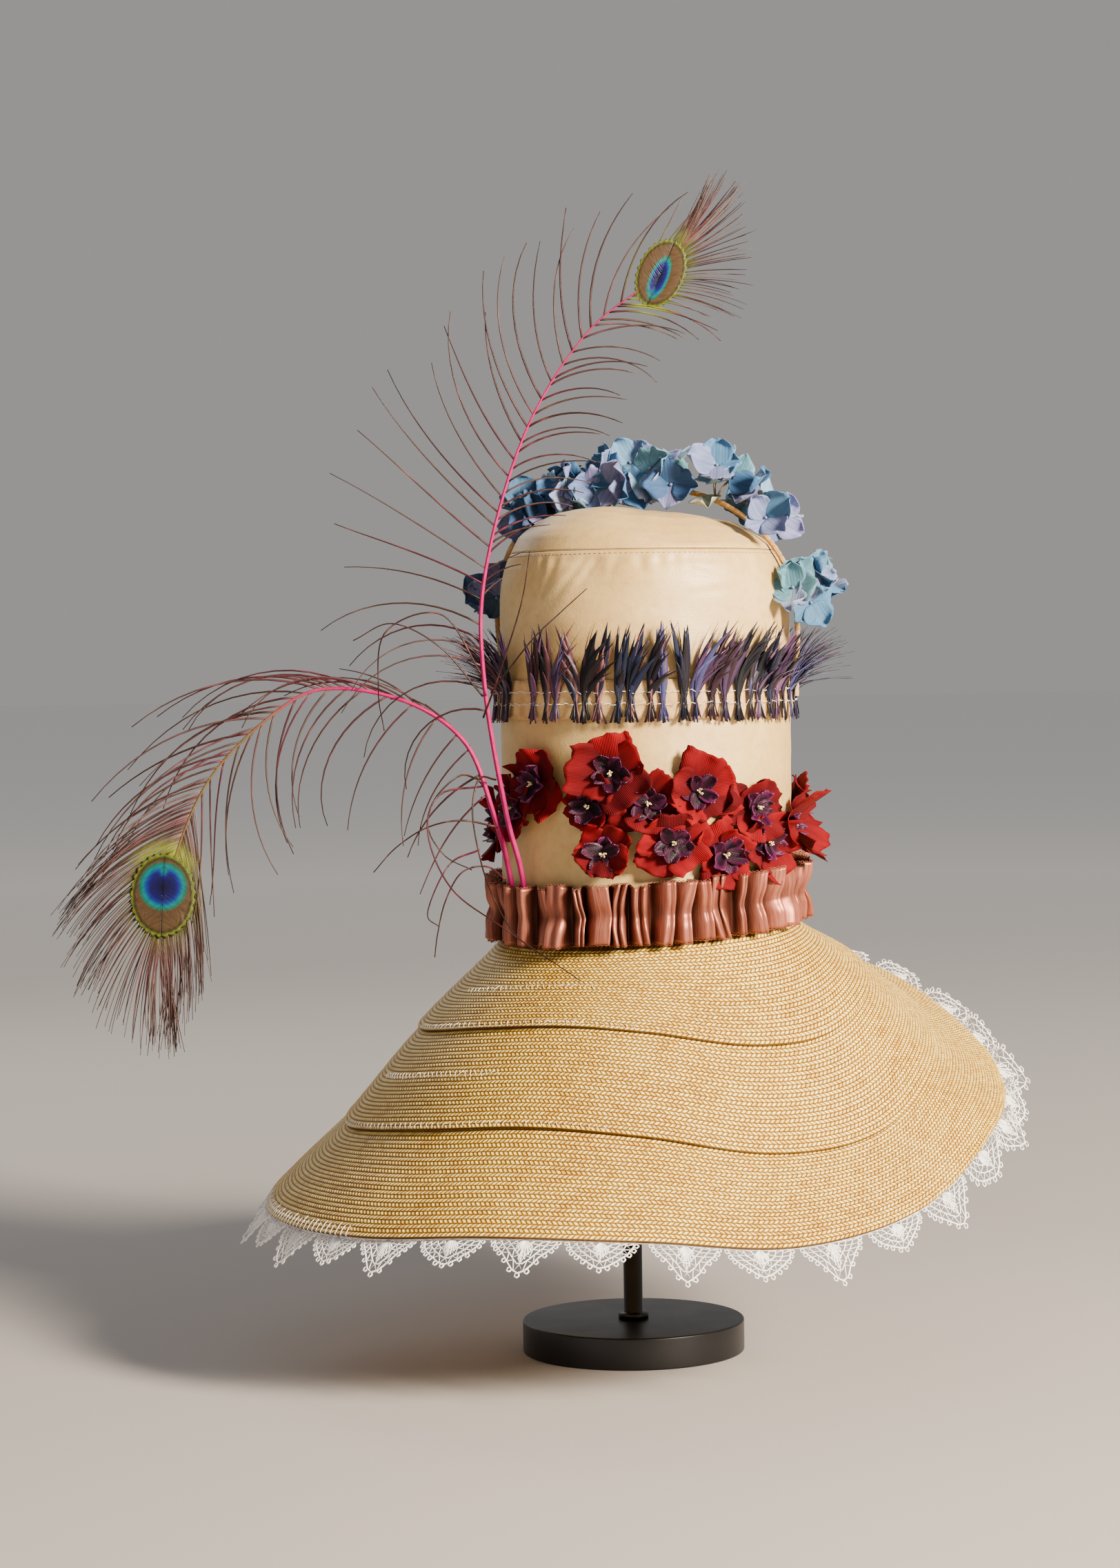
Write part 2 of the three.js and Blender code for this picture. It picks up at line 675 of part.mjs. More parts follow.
function ruffle() {
  const stations = [];
  for (let pleat = 0; pleat < PLEATS; pleat += 1) {
    for (const { phase, crest } of PLEAT_STEPS) {
      stations.push({ azimuth: pleatAzimuth(pleat, phase), crest });
    }
  }
  const valley = NECK_RADIUS + GAP + RIBBON / 2;
  const folds = RIBBON_LEVELS.map(({ rise, depth }) =>
    stations.map(({ azimuth, crest }) => {
      const foot = NECK_HEIGHT + RIBBON_FOOT + neckLift(azimuth);
      return onHat(azimuth, valley + crest * depth, foot + rise * RIBBON_WIDTH);
    }),
  );
  const rings = stations.map((_, i) => {
    const outer = [];
    const inner = [];
    for (const fold of folds) {
      const before = fold.at(i - 1);
      const after = fold[(i + 1) % fold.length];
      const normal = after.clone().sub(before).setZ(0).normalize().cross(UP);
      outer.push(fold[i].clone().addScaledVector(normal, RIBBON / 2));
      inner.push(fold[i].clone().addScaledVector(normal, -RIBBON / 2));
    }
    return [...outer, ...inner.reverse()];
  });
  return skin(rings, true);
}

// Feather band

function featherBand() {
  const keepClear = [
    pleatAzimuth(UPRIGHT_FEATHER.seat.pleat, 0.5),
    pleatAzimuth(ARCHED_FEATHER.seat.pleat, 0.5),
    STEM_RIGHT,
    STEM_LEFT,
  ];
  const top = BAND_FOOT + BAND_WIDTH;
  const rings = [];
  for (let i = 0; i < TUFTS; i += 1) {
    const azimuth = (360 * i) / TUFTS;
    const back = BAND_RADIUS - BAND_WALL;
    rings.push([
      onHat(azimuth, BAND_RADIUS, top),
      onHat(azimuth, BAND_RADIUS, BAND_FOOT),
      onHat(azimuth, back, BAND_FOOT),
      onHat(azimuth, back, top),
    ]);
  }
  const pieces = [skin(rings, true)];
  for (let i = 0; i < TUFTS; i += 1) {
    const azimuth = (360 * (i + 0.5)) / TUFTS;
    const lean = TUFT_LEAN * Math.sin(1.9 * i);
    if (keepClear.every((other) => turnBetween(azimuth, other) > TUFT_CLEAR)) {
      const spine = TUFT_STATIONS.map(({ rise, standoff }, k) =>
        onHat(azimuth + lean * (k / 3), BAND_RADIUS + standoff, BAND_FOOT + rise),
      );
      const halves = TUFT_STATIONS.map(({ half }) => half);
      pieces.push(lock(spine, halves, sideways(azimuth), outwards(azimuth), TUFT_THICKNESS));
    }
  }
  return fuse(pieces);
}

// Red flowers

// Pull an outline point back to the flower's own cell between its neighbours, above the ribbon
function keepInCell(flower, point) {
  const ribbonTop = NECK_HEIGHT + RIBBON_FOOT + RIBBON_WIDTH + neckLift(flower.azimuth);
  const floor = ribbonTop + FLOWER_CLEAR - flower.height;
  let share = point.t < floor ? floor / point.t : 1;
  for (const other of FLOWERS.filter((row) => row !== flower)) {
    const turn = ((other.azimuth - flower.azimuth + 540) % 360) - 180;
    const away = new THREE.Vector2(radians(turn) * CROWN_RADIUS, other.height - flower.height);
    const half = away.length() / 2 - GAP;
    const reach = (point.s * away.x + point.t * away.y) / away.length();
    if (reach > half) share = Math.min(share, half / reach);
  }
  return share;
}

function onCrownAt(flower) {
  return (s, t, standoff) => {
    const azimuth = flower.azimuth + degrees(s / CROWN_RADIUS);
    return onHat(azimuth, CROWN_RADIUS + standoff, flower.height + t);
  };
}

function corolla(flower) {
  const outline = [];
  for (let petal = 0; petal < PETALS; petal += 1) {
    const angle = flower.turn + (360 * petal) / PETALS;
    const lift = flower.cup * (1 + 0.25 * Math.sin(2.1 * petal + flower.turn));
    const rays = [
      { angle: angle - 180 / PETALS, radius: NOTCH_SHARE, lift: NOTCH_SHARE * flower.cup },
      { angle: angle - 18, radius: 0.96, lift },
      { angle: angle + 18, radius: 1, lift },
    ];
    for (const ray of rays) {
      const s = flower.radius * ray.radius * Math.cos(radians(ray.angle));
      const t = flower.radius * ray.radius * Math.sin(radians(ray.angle));
      const share = keepInCell(flower, { s, t });
      const front = COROLLA_SEAT + share * ray.lift;
      outline.push({ s: s * share, t: t * share, front, back: front - CLOTH });
    }
  }
  const middle = { front: COROLLA_SEAT, back: COROLLA_SEAT - CLOTH };
  return starPlate(middle, outline, onCrownAt(flower));
}

function heart(flower) {
  const outline = [];
  const seat = COROLLA_SEAT + (1.3 * flower.cup * HEART_RADIUS) / flower.radius + GAP;
  for (let lobe = 0; lobe < 2 * PETALS; lobe += 1) {
    const angle = radians(flower.turn + (180 * lobe) / PETALS);
    const radius = HEART_RADIUS * (lobe % 2 === 0 ? 1 : 0.72);
    const back = COROLLA_SEAT + GAP + ((seat - COROLLA_SEAT) * radius) / HEART_RADIUS;
    outline.push({ s: radius * Math.cos(angle), t: radius * Math.sin(angle), front: back + CLOTH, back });
  }
  const middle = { front: seat + HEART_DOME, back: COROLLA_SEAT + GAP };
  return starPlate(middle, outline, onCrownAt(flower));
}

// Peacock feathers

function quillCurve(feather) {
  const azimuth = pleatAzimuth(feather.seat.pleat, 0.5);
  const { height } = feather.seat;
  const seat = [
    onHat(azimuth, QUILL_SEAT, height),
    onHat(azimuth, QUILL_SEAT + QUILL_LEAN.out, height + QUILL_LEAN.up),
  ];
  const route = feather.route.map(({ x, y, z }) => new THREE.Vector3(x, y, z));
  return new THREE.CatmullRomCurve3([...seat, ...route], false, "centripetal");
}

// One barb as a bent lock: it leaves the quill at an angle and curls along its length
function barb(curve, along, length, angle, curl) {
  const tangent = curve.getTangentAt(along).setY(0).normalize();
  const spine = [curve.getPointAt(along)];
  for (let i = 1; i < BARB_STATIONS.length; i += 1) {
    const share = (BARB_STATIONS[i] + BARB_STATIONS[i - 1]) / 2;
    const run = tangent.clone().applyAxisAngle(FRONT, radians(angle + curl * share));
    const step = length * (BARB_STATIONS[i] - BARB_STATIONS[i - 1]);
    spine.push(spine[i - 1].clone().addScaledVector(run, step));
  }
  const across = spine[1].clone().sub(spine[0]).normalize().cross(FRONT);
  const halves = BARB_STATIONS.map((station) => BARB_HALF * (1 - station));
  return lock(spine, halves, across, FRONT, BARB_THICKNESS);
}

function eyeVane(eye) {
  const turn = radians(eye.lean);
  const centre = new THREE.Vector3(eye.x, eye.y, eye.z);
  const long = new THREE.Vector3(Math.sin(turn), 0, Math.cos(turn));
  const wide = long.clone().cross(FRONT);
  const half = EYE_THICKNESS / 2;
  const outline = Array.from({ length: EYE_SIDES }, (_, i) => {
    const angle = (2 * Math.PI * i) / EYE_SIDES;
    return {
      s: eye.share * EYE_HALF_WIDTH * Math.sin(angle),
      t: EYE_HALF_LENGTH * Math.cos(angle),
      front: half,
      back: -half,
    };
  });
  return starPlate({ front: half, back: -half }, outline, (s, t, level) =>
    centre.clone().addScaledVector(wide, s).addScaledVector(long, t).addScaledVector(FRONT, level),
  );
}

function peacockFeather(feather) {
  const curve = quillCurve(feather);
  const taper = (along) => THREE.MathUtils.lerp(QUILL_RADIUS, QUILL_TIP, along);
  const pieces = [taperedTube(curve, QUILL_STEPS, QUILL_SIDES, taper), eyeVane(feather.eye)];
  for (const row of feather.barbs) {
    pieces.push(barb(curve, row.along, row.left, row.leftAngle, row.leftCurl));
    if (row.right > 0) pieces.push(barb(curve, row.along, row.right, -row.rightAngle, -row.rightCurl));
  }
  return fuse(pieces);
}

// Hydrangea garland

function stemCurve() {
  const route = STEM_ROUTE.map(({ x, y, z }) => new THREE.Vector3(x, y, z));
  const ends = [onHat(STEM_RIGHT, STEM_SEAT, STEM_FOOT), onHat(STEM_LEFT, STEM_SEAT, STEM_FOOT)];
  return new THREE.CatmullRomCurve3([ends[0], ...route, ends[1]], false, "centripetal");
}

function garlandStem() {
  const section = Array.from({ length: STEM_SIDES }, (_, i) => {
    const angle = (2 * Math.PI * i) / STEM_SIDES;
    return new THREE.Vector2(STEM_RADIUS * Math.cos(angle), STEM_RADIUS * Math.sin(angle));
  });
  const sweep = { steps: STEM_STEPS, extrudePath: stemCurve() };
  return closed(new THREE.ExtrudeGeometry(new THREE.Shape(section), sweep));
}

function floret(centre, facing, size, turn) {
  const wide = new THREE.Vector3(1, 0.2, 0).cross(facing).normalize();
  const tall = facing.clone().cross(wide);
  const outline = [];
  for (let sepal = 0; sepal < SEPALS; sepal += 1) {
    const angle = turn + (360 * sepal) / SEPALS;
    const rays = [
      { angle: angle - 180 / SEPALS, share: 0.34, lift: 1 },
      { angle: angle - 22, share: 0.95, lift: 4 },
      { angle: angle + 22, share: 1, lift: 5 },
    ];
    for (const ray of rays) {
      const s = size * ray.share * Math.cos(radians(ray.angle));
      const t = size * ray.share * Math.sin(radians(ray.angle));
      outline.push({ s, t, front: ray.lift, back: ray.lift - SEPAL_THICKNESS });
    }
  }
  return starPlate({ front: 0.5, back: -SEPAL_THICKNESS }, outline, (s, t, level) =>
    centre.clone().addScaledVector(wide, s).addScaledVector(tall, t).addScaledVector(facing, level),
  );
}

function hydrangeaSprig(sprig) {
  const curve = stemCurve();
  const root = curve.getPointAt(sprig.along);
  const tangent = curve.getTangentAt(sprig.along);
  const away = root.clone().sub(new THREE.Vector3(HAT_X, 0, CROWN_HEART));
  away.addScaledVector(tangent, -away.dot(tangent)).normalize();
  away.applyAxisAngle(tangent, radians(sprig.swing));
  const dip = STALK_RADIUS * Math.sin(radians(sprig.spread / 2));
  const seat = root.clone().addScaledVector(away, STEM_RADIUS + GAP + dip);
  const pieces = [];
  for (let i = 0; i < sprig.florets; i += 1) {
    const fork = (i - (sprig.florets - 1) / 2) * sprig.spread;
    const run = away.clone().applyAxisAngle(tangent, radians(fork));
    const centre = root.clone().addScaledVector(run, sprig.reach);
    const stalk = new THREE.LineCurve3(seat, centre);
    pieces.push(taperedTube(stalk, 1, STALK_SIDES, () => STALK_RADIUS));
    const facing = run.clone().addScaledVector(FRONT, FLORET_TURN).normalize();
    pieces.push(floret(centre, facing, sprig.size, sprig.turn + 40 * i));
  }
  return fuse(pieces);
}

// Assembly

const hat = new THREE.Group();

function addPiece(name, geometry, material) {
  const mesh = new THREE.Mesh(geometry, material);
  mesh.name = name;
  hat.add(mesh);
}

const number = (i) => String(i + 1).padStart(2, "0");

addPiece("stand_base", standBase(), finish("#0c0a0c", 0.4));
addPiece("stand_post", standPost(), finish("#0c0a0c", 0.35));
addPiece("crown_tip", crownTip(), finish("#d9bd8f", 0.5));
addPiece("crown_side", crownSide(), finish("#dcc193", 0.5));
for (const tier of TIERS) addPiece(tier.name, brimTier(tier), finish("#d3ae6c", 0.65));
addPiece("lace_edging", laceEdging(), finish("#f3ece9", 0.85));
addPiece("ruffle", ruffle(), finish("#a8654c", 0.35));
addPiece("feather_band", featherBand(), finish("#3d2c3c", 0.6));
FLOWERS.forEach((flower, i) => {
  addPiece(`flower_${number(i)}_corolla`, corolla(flower), finish("#a3161b", 0.8));
  addPiece(`flower_${number(i)}_heart`, heart(flower), finish("#43102c", 0.7));
});
for (const feather of [UPRIGHT_FEATHER, ARCHED_FEATHER]) {
  addPiece(feather.name, peacockFeather(feather), finish("#5a4634", 0.5));
}
addPiece("garland_stem", garlandStem(), finish("#b58f5c", 0.7));
SPRIGS.forEach((sprig, i) => {
  addPiece(`hydrangea_sprig_${i + 1}`, hydrangeaSprig(sprig), finish("#5f82ad", 0.75));
});

export default hat;
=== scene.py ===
"""Looks of a tall straw hat with a leather crown and mixed trimmings, on a black display stand.

The construction comes packed as a fixed frame in metres; this script dresses it with detailed
meshes, procedural finishes, soft studio light and a camera. Sizes below are in millimetres.
"""

from __future__ import annotations

import logging
import math
from dataclasses import dataclass
from enum import Enum
from functools import partial
from typing import Any, Callable, Sequence

import bpy
import numpy as np
from mathutils import Matrix, Vector

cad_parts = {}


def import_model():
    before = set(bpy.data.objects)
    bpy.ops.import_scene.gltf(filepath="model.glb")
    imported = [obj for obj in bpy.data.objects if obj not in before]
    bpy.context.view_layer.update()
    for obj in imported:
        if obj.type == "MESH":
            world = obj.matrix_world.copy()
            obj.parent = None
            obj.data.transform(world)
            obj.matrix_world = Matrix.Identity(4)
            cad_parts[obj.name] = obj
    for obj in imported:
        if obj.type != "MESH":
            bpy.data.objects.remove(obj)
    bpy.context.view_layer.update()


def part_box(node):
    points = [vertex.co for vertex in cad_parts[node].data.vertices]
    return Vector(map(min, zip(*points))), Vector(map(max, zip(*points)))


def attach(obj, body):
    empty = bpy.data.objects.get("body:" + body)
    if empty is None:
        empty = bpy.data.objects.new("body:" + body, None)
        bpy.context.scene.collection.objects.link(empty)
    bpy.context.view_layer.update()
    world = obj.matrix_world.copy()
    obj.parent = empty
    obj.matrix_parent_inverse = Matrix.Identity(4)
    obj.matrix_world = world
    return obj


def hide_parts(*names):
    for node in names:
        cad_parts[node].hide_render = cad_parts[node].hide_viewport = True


LOG = logging.getLogger("straw_hat")
MM = 0.001
BODY = "root"
TINT = "tint"
WEAVE = "weave"
MULTIPLIED = {"data_type": "RGBA", "blend_type": "MULTIPLY"}
Array = np.ndarray
Random = np.random.Generator
Socket = bpy.types.NodeSocket
Tree = bpy.types.NodeTree
Drivers = dict[str, Socket]
Adder = Callable[..., Socket]
Pair = tuple[float, float]
Pairs = tuple[Pair, ...]
Point = tuple[float, float, float]
Stops = tuple[tuple[float, str], ...]


# Small tools shared by every sub-assembly


def linear(code: str) -> tuple[float, float, float, float]:
    """Turn an sRGB hex colour into linear RGBA.

    Args:
        code: a colour such as "#C9A35B".

    Returns:
        Linear red, green, blue and an alpha of 1.
    """
    channels = [int(code[i : i + 2], 16) / 255 for i in (1, 3, 5)]
    red, green, blue = [c / 12.92 if c <= 0.04045 else ((c + 0.055) / 1.055) ** 2.4 for c in channels]
    return red, green, blue, 1.0


def rgba(code: str) -> Array:
    """Turn an sRGB hex colour into an array of linear RGBA."""
    return np.array(linear(code))


def mixed(first: str, second: str, share: float) -> Array:
    """Mix two hex colours in linear light, the first at share 0 and the second at share 1."""
    return rgba(first) * (1 - share) + rgba(second) * share


def smooth(value: Any, low: float, high: float) -> Any:
    """Ease a number or an array from 0 at low to 1 at high."""
    share = np.clip((np.asarray(value, float) - low) / (high - low), 0, 1)
    return share * share * (3 - 2 * share)


def bell(value: Any, width: float) -> Any:
    """Give a bell curve: 1 at value 0, about a third at the width."""
    return np.exp(-((value / width) ** 2))


def apart(azimuth: Any, middle: float) -> Any:
    """Give the turn from the middle to an azimuth, -180 to 180 degrees."""
    return (np.asarray(azimuth) - middle + 540) % 360 - 180


def joined(*values: Any) -> Array:
    """Broadcast numbers and arrays together and join them along a new last axis."""
    return np.stack(np.broadcast_arrays(*values), -1)


def distances(path: Array) -> Array:
    """Give the distance along a path from its first point to each one."""
    return np.concatenate([[0], np.cumsum(np.linalg.norm(np.diff(path, axis=0), axis=1))])


def beside(*grids: Array) -> Array:
    """Set grids of points side by side, column after column."""
    return np.concatenate(grids, axis=1)


def cubic(a: Array, b: Array, c: Array, d: Array, share: Any) -> Array:
    """Give the smooth curve from b to c, between the neighbours a and d, at shares 0 to 1."""
    square = 2 * a - 5 * b + 4 * c - d
    return 0.5 * (2 * b + (c - a) * share + square * share**2 + (3 * b - a - 3 * c + d) * share**3)


def resampled(path: Array, places: Array) -> Array:
    """Give the points of a path at distances from its first point."""
    run = distances(path)
    return np.stack([np.interp(places, run, path[:, k]) for k in range(3)], axis=1)


def per_metre(size_mm: float) -> float:
    """Give the scale of a pattern whose repeat is a size in millimetres."""
    return 1 / (size_mm * MM)


def unit(vectors: Array) -> Array:
    """Scale vectors, whose last axis is x, y, z, to length 1."""
    length = np.linalg.norm(vectors, axis=-1, keepdims=True)
    return vectors / np.maximum(length, 1e-9)


def spline(knots: Sequence[Sequence[float]], count: int) -> Array:
    """Sample a smooth curve through points at even distances.

    Args:
        knots: the points that the curve passes through.
        count: how many samples to return.

    Returns:
        Sampled points, one row each.
    """
    points = np.array(knots, float)
    padded = np.vstack([2 * points[0] - points[1], points, 2 * points[-1] - points[-2]])
    share = np.linspace(0, 1, 40, endpoint=False)[:, None]
    fine = [cubic(*padded[i - 1 : i + 3], share) for i in range(1, len(padded) - 2)]
    path = np.vstack([*fine, points[-1:]])
    return resampled(path, np.linspace(0, distances(path)[-1], count))


class Mesher:
    """Collects vertices in millimetres with tints and weave coordinates, then makes one object."""

    def __init__(self) -> None:
        """Start empty."""
        self.points: list[Array] = []
        self.tints: list[Array] = []
        self.corners: list[Array] = []
        self.faces: list[list[int]] = []
        self.total = 0

    def cap(self, face: Sequence[int]) -> None:
        """Close an opening with one face, given by its vertex numbers."""
        self.faces.append(list(face))
        self.corners.append(np.zeros((len(face), 2)))

    def grid(
        self,
        points: Array,
        tint: Any = (1, 1, 1, 1),
        weave: Any = (0, 0),
        closed_rows: bool = False,
        closed_columns: bool = False,
    ) -> None:
        """Add a grid of quads.

        Args:
            points: an array of rows by columns by 3.
            tint: one RGBA or an array of rows by columns by 4.
            weave: one u, v pair or an array of rows by columns by 2; a closed grid may give one more
                row, which is used where the last row meets the first.
            closed_rows: join the last row to the first.
            closed_columns: join the last column to the first.
        """
        rows, columns = points.shape[:2]
        here = np.arange(rows if closed_rows else rows - 1)[:, None]
        side = np.arange(columns if closed_columns else columns - 1)[None, :]
        below, right = (here + 1) % rows, (side + 1) % columns
        places = ((here, side), (below, side), (below, right), (here, right))
        faces = joined(*(row * columns + column for row, column in places))
        self.faces.extend((faces.reshape(-1, 4) + self.total).tolist())
        weaves = np.asarray(weave, float)
        if weaves.ndim == 1:
            self.corners.append(np.broadcast_to(weaves, (faces.size, 2)))
        else:
            further = here + 1 if len(weaves) > rows else below
            places = ((here, side), (further, side), (further, right), (here, right))
            self.corners.append(np.stack([weaves[row, column] for row, column in places], 2).reshape(-1, 2))
        self.points.append(points.reshape(-1, 3))
        self.tints.append(np.broadcast_to(np.asarray(tint, float), (rows, columns, 4)).reshape(-1, 4))
        self.total += rows * columns

    def sheet(self, points: Array, thickness: float, tint: Any = (1, 1, 1, 1), weave: Any = (0, 0)) -> None:
        """Add a thin closed sheet round a grid of middle points.

        Args:
            points: an array of rows by columns by 3.
            thickness: full thickness of the sheet.
            tint: one RGBA or an array of rows by columns by 4.
            weave: one u, v pair or an array of rows by columns by 2.
        """
        normal = unit(np.cross(np.gradient(points, axis=0), np.gradient(points, axis=1))) * thickness / 2
        wrapped = beside(points + normal, (points - normal)[:, ::-1])
        tints, weaves = (np.asarray(values, float) for values in (tint, weave))
        tints = beside(tints, tints[:, ::-1]) if tints.ndim > 1 else tints
        weaves = beside(weaves, weaves[:, ::-1]) if weaves.ndim > 1 else weaves
        start = self.total
        self.grid(wrapped, tints, weaves, closed_columns=True)
        rows, columns = points.shape[:2]
        for first in (start, start + (rows - 1) * 2 * columns):
            for k in range(columns - 1):
                face = [first + k, first + k + 1, first + 2 * columns - 2 - k, first + 2 * columns - 1 - k]
                self.cap(face if first == start else face[::-1])

    def tube(self, path: Array, radius: Any, sides: int, tint: Any = (1, 1, 1, 1)) -> None:
        """Add a round tube along a path, closed at both ends.

        Args:
            path: centre points, one row each.
            radius: one radius or one for each point.
            sides: number of sides.
            tint: one RGBA or a row for each point.
        """
        count = len(path)
        run = unit(np.gradient(path, axis=0))
        spare = np.array([[1.0, 0.0, 0.0], [0.0, 1.0, 0.0], [0.0, 0.0, 1.0]])
        guide = spare[int(np.argmin(np.abs(run).max(axis=0)))]
        across = unit(np.cross(run, guide))
        other = np.cross(run, across)
        angle = np.linspace(0, 2 * math.pi, sides, endpoint=False)[None, :, None]
        reach = np.broadcast_to(np.asarray(radius, float), (count,))[:, None, None]
        ring = path[:, None] + reach * (np.cos(angle) * across[:, None] + np.sin(angle) * other[:, None])
        tints = np.asarray(tint, float)
        if tints.ndim > 1:
            tints = np.repeat(tints[:, None], sides, axis=1)
        weave = joined(distances(path)[:, None], angle[0, :, 0][None, :])
        start = self.total
        self.grid(ring, tints, weave, closed_columns=True)
        last = start + (count - 1) * sides
        self.cap([start + k for k in range(sides)])
        self.cap([last + k for k in reversed(range(sides))])

    def build(
        self, name: str, material: bpy.types.Material, replaced: Sequence[str], slot: str
    ) -> bpy.types.Object:
        """Make the object, let it ride on the body and stand for its solids.

        Args:
            name: the piece's name.
            material: its finish.
            replaced: the solids that it stands for.
            slot: not used.

        Returns:
            The new object.
        """
        mesh = bpy.data.meshes.new(name)
        mesh.from_pydata((np.concatenate(self.points) * MM).tolist(), [], self.faces)
        tint = mesh.color_attributes.new(TINT, "FLOAT_COLOR", "POINT")
        tint.data.foreach_set("color", np.concatenate(self.tints).astype(np.float32).ravel())
        weave = mesh.uv_layers.new(name=WEAVE)
        weave.data.foreach_set("uv", np.concatenate(self.corners).astype(np.float32).ravel())
        mesh.polygons.foreach_set("use_smooth", np.ones(len(mesh.polygons), bool))
        mesh.materials.append(material)
        mesh.update()
        piece = bpy.data.objects.new(name, mesh)
        bpy.context.scene.collection.objects.link(piece)
        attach(piece, BODY)
        if replaced:
            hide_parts(*replaced)
        LOG.info("%s: %d faces", name, len(self.faces))
        return piece


# Finishes


def add_node(
    tree: Tree, kind: str, inputs: Sequence[Any] | dict[Any, Any] = (), out: int | str = 0, **settings: Any
) -> Socket:
    """Add a node with its settings, values and links.

    Args:
        tree: the material's node tree.
        kind: Blender's name of the node type, without its first word; after a colon, its operation.
        inputs: values or sockets to link, in order or by the input's number or name.
        out: the output that is wanted, by number or name.
        settings: node properties; stops are a ramp's pairs of place and hex colour.

    Returns:
        The wanted output.
    """
    kind, _, operation = kind.partition(":")
    node = tree.nodes.new(f"ShaderNode{kind}")
    if operation:
        node.operation = operation
    stops = settings.pop("stops", ())
    for key, value in settings.items():
        setattr(node, key, value)
    for _ in stops[2:]:
        node.color_ramp.elements.new(0.5)
    for element, (place, code) in zip(node.color_ramp.elements if stops else (), stops):
        element.position = place
        element.color = linear(code)
    for key, value in (inputs if isinstance(inputs, dict) else dict(enumerate(inputs))).items():
        if isinstance(value, Socket):
            tree.links.new(value, node.inputs[key])
        else:
            node.inputs[key].default_value = value
    return node.outputs[out]


@dataclass(frozen=True)
class Finish:
    """A dielectric surface; each finish below draws its own pattern on it."""

    name: str
    roughness: float = 0.6
    ior: float = 1.5
    metallic: float = 0.0
    anisotropy: float = 0.0
    specular: float = 0.5
    specular_tint: str = "#FFFFFF"
    sheen: float = 0.0
    sheen_roughness: float = 0.4
    sheen_tint: str = "#FFFFFF"
    bump_mm: float = 0.1

    def pattern(self, add: Adder) -> Drivers:
        """Draw what varies over the surface.

        Args:
            add: adds a node to the material.

        Returns:
            What drives the shader's inputs, by name; Height raises the surface.
        """
        raise NotImplementedError(self.name)

    def make(self) -> bpy.types.Material:
        """Build the material.

        Returns:
            The material, with its constant values on the shader and its pattern linked.
        """
        material = bpy.data.materials.new(self.name)
        material.use_nodes = True
        tree = material.node_tree
        shader = tree.nodes["Principled BSDF"]
        constants = {
            "Roughness": self.roughness,
            "IOR": self.ior,
            "Metallic": self.metallic,
            "Anisotropic": self.anisotropy,
            "Specular IOR Level": self.specular,
            "Specular Tint": linear(self.specular_tint),
            "Sheen Weight": self.sheen,
            "Sheen Roughness": self.sheen_roughness,
            "Sheen Tint": linear(self.sheen_tint),
        }
        for name, value in constants.items():
            shader.inputs[name].default_value = value
        add = partial(add_node, tree)
        drivers = self.pattern(add)
        if "Height" in drivers:
            raised = {"Strength": 1.0, "Distance": self.bump_mm * MM, "Height": drivers.pop("Height")}
            drivers["Normal"] = add("Bump", raised, "Normal")
        for name, socket in drivers.items():
            tree.links.new(socket, shader.inputs[name])
        return material


@dataclass(frozen=True)
class PowderCoat(Finish):
    """Black powder-coated steel: satin, with the faint orange peel of sprayed powder."""

    peel_mm: float = 0.9
    shade_mm: float = 60.0
    gloss_mm: float = 25.0
    gloss: Pair = (0.3, 0.42)
    blacks: Stops = ((0.35, "#060506"), (0.7, "#0C0A0C"))

    def pattern(self, add: Adder) -> Drivers:
        """Draw the orange peel and the uneven gloss.

        Args:
            add: adds a node to the material.

        Returns:
            What drives the shader's inputs, by name.
        """
        place = add("TexCoord", out="Object")
        peel, shade, gloss = (
            add("TexNoise", {"Vector": place, "Scale": per_metre(size), "Detail": detail})
            for size, detail in ((self.peel_mm, 2.0), (self.shade_mm, 4.0), (self.gloss_mm, 4.0))
        )
        return {
            "Base Color": add("ValToRGB", [shade], stops=self.blacks),
            "Roughness": add("MapRange", [gloss, 0.0, 1.0, *self.gloss]),
            "Height": peel,
        }


@dataclass(frozen=True)
class PaleHide(Finish):
    """Soft vegetable-tanned hide: pebbled grain, warm blotches and a low waxy shine."""

    grain_mm: float = 1.1
    fold_mm: float = 22.0
    shade_mm: float = 48.0
    fleck_mm: float = 5.0
    fold_share: float = 1.6
    fleck_share: float = 0.35
    tans: Stops = ((0.25, "#C09C5E"), (0.45, "#C9A668"), (0.6, "#D0AF72"), (0.8, "#D8BA82"))
    flecks: Stops = ((0.3, "#E2D0B2"), (0.55, "#FFFFFF"))

    def pattern(self, add: Adder) -> Drivers:
        """Draw the grain, the soft folds and the flecked tan.

        Args:
            add: adds a node to the material.

        Returns:
            What drives the shader's inputs, by name.
        """
        place = add("TexCoord", out="Object")
        fold, shade, fleck = (
            add("TexNoise", {"Vector": place, "Scale": per_metre(size), "Detail": detail})
            for size, detail in ((self.fold_mm, 5.0), (self.shade_mm, 5.0), (self.fleck_mm, 8.0))
        )
        cells = {"Vector": place, "Scale": per_metre(self.grain_mm)}
        grain = add("TexVoronoi", cells, "Distance", feature="SMOOTH_F1")
        base = add("ValToRGB", [shade], stops=self.tans)
        tone = add("ValToRGB", [fleck], stops=self.flecks)
        return {
            "Base Color": add("Mix", {0: self.fleck_share, 6: base, 7: tone}, 2, **MULTIPLIED),
            "Height": add("Math:MULTIPLY_ADD", [fold, self.fold_share, grain]),
        }


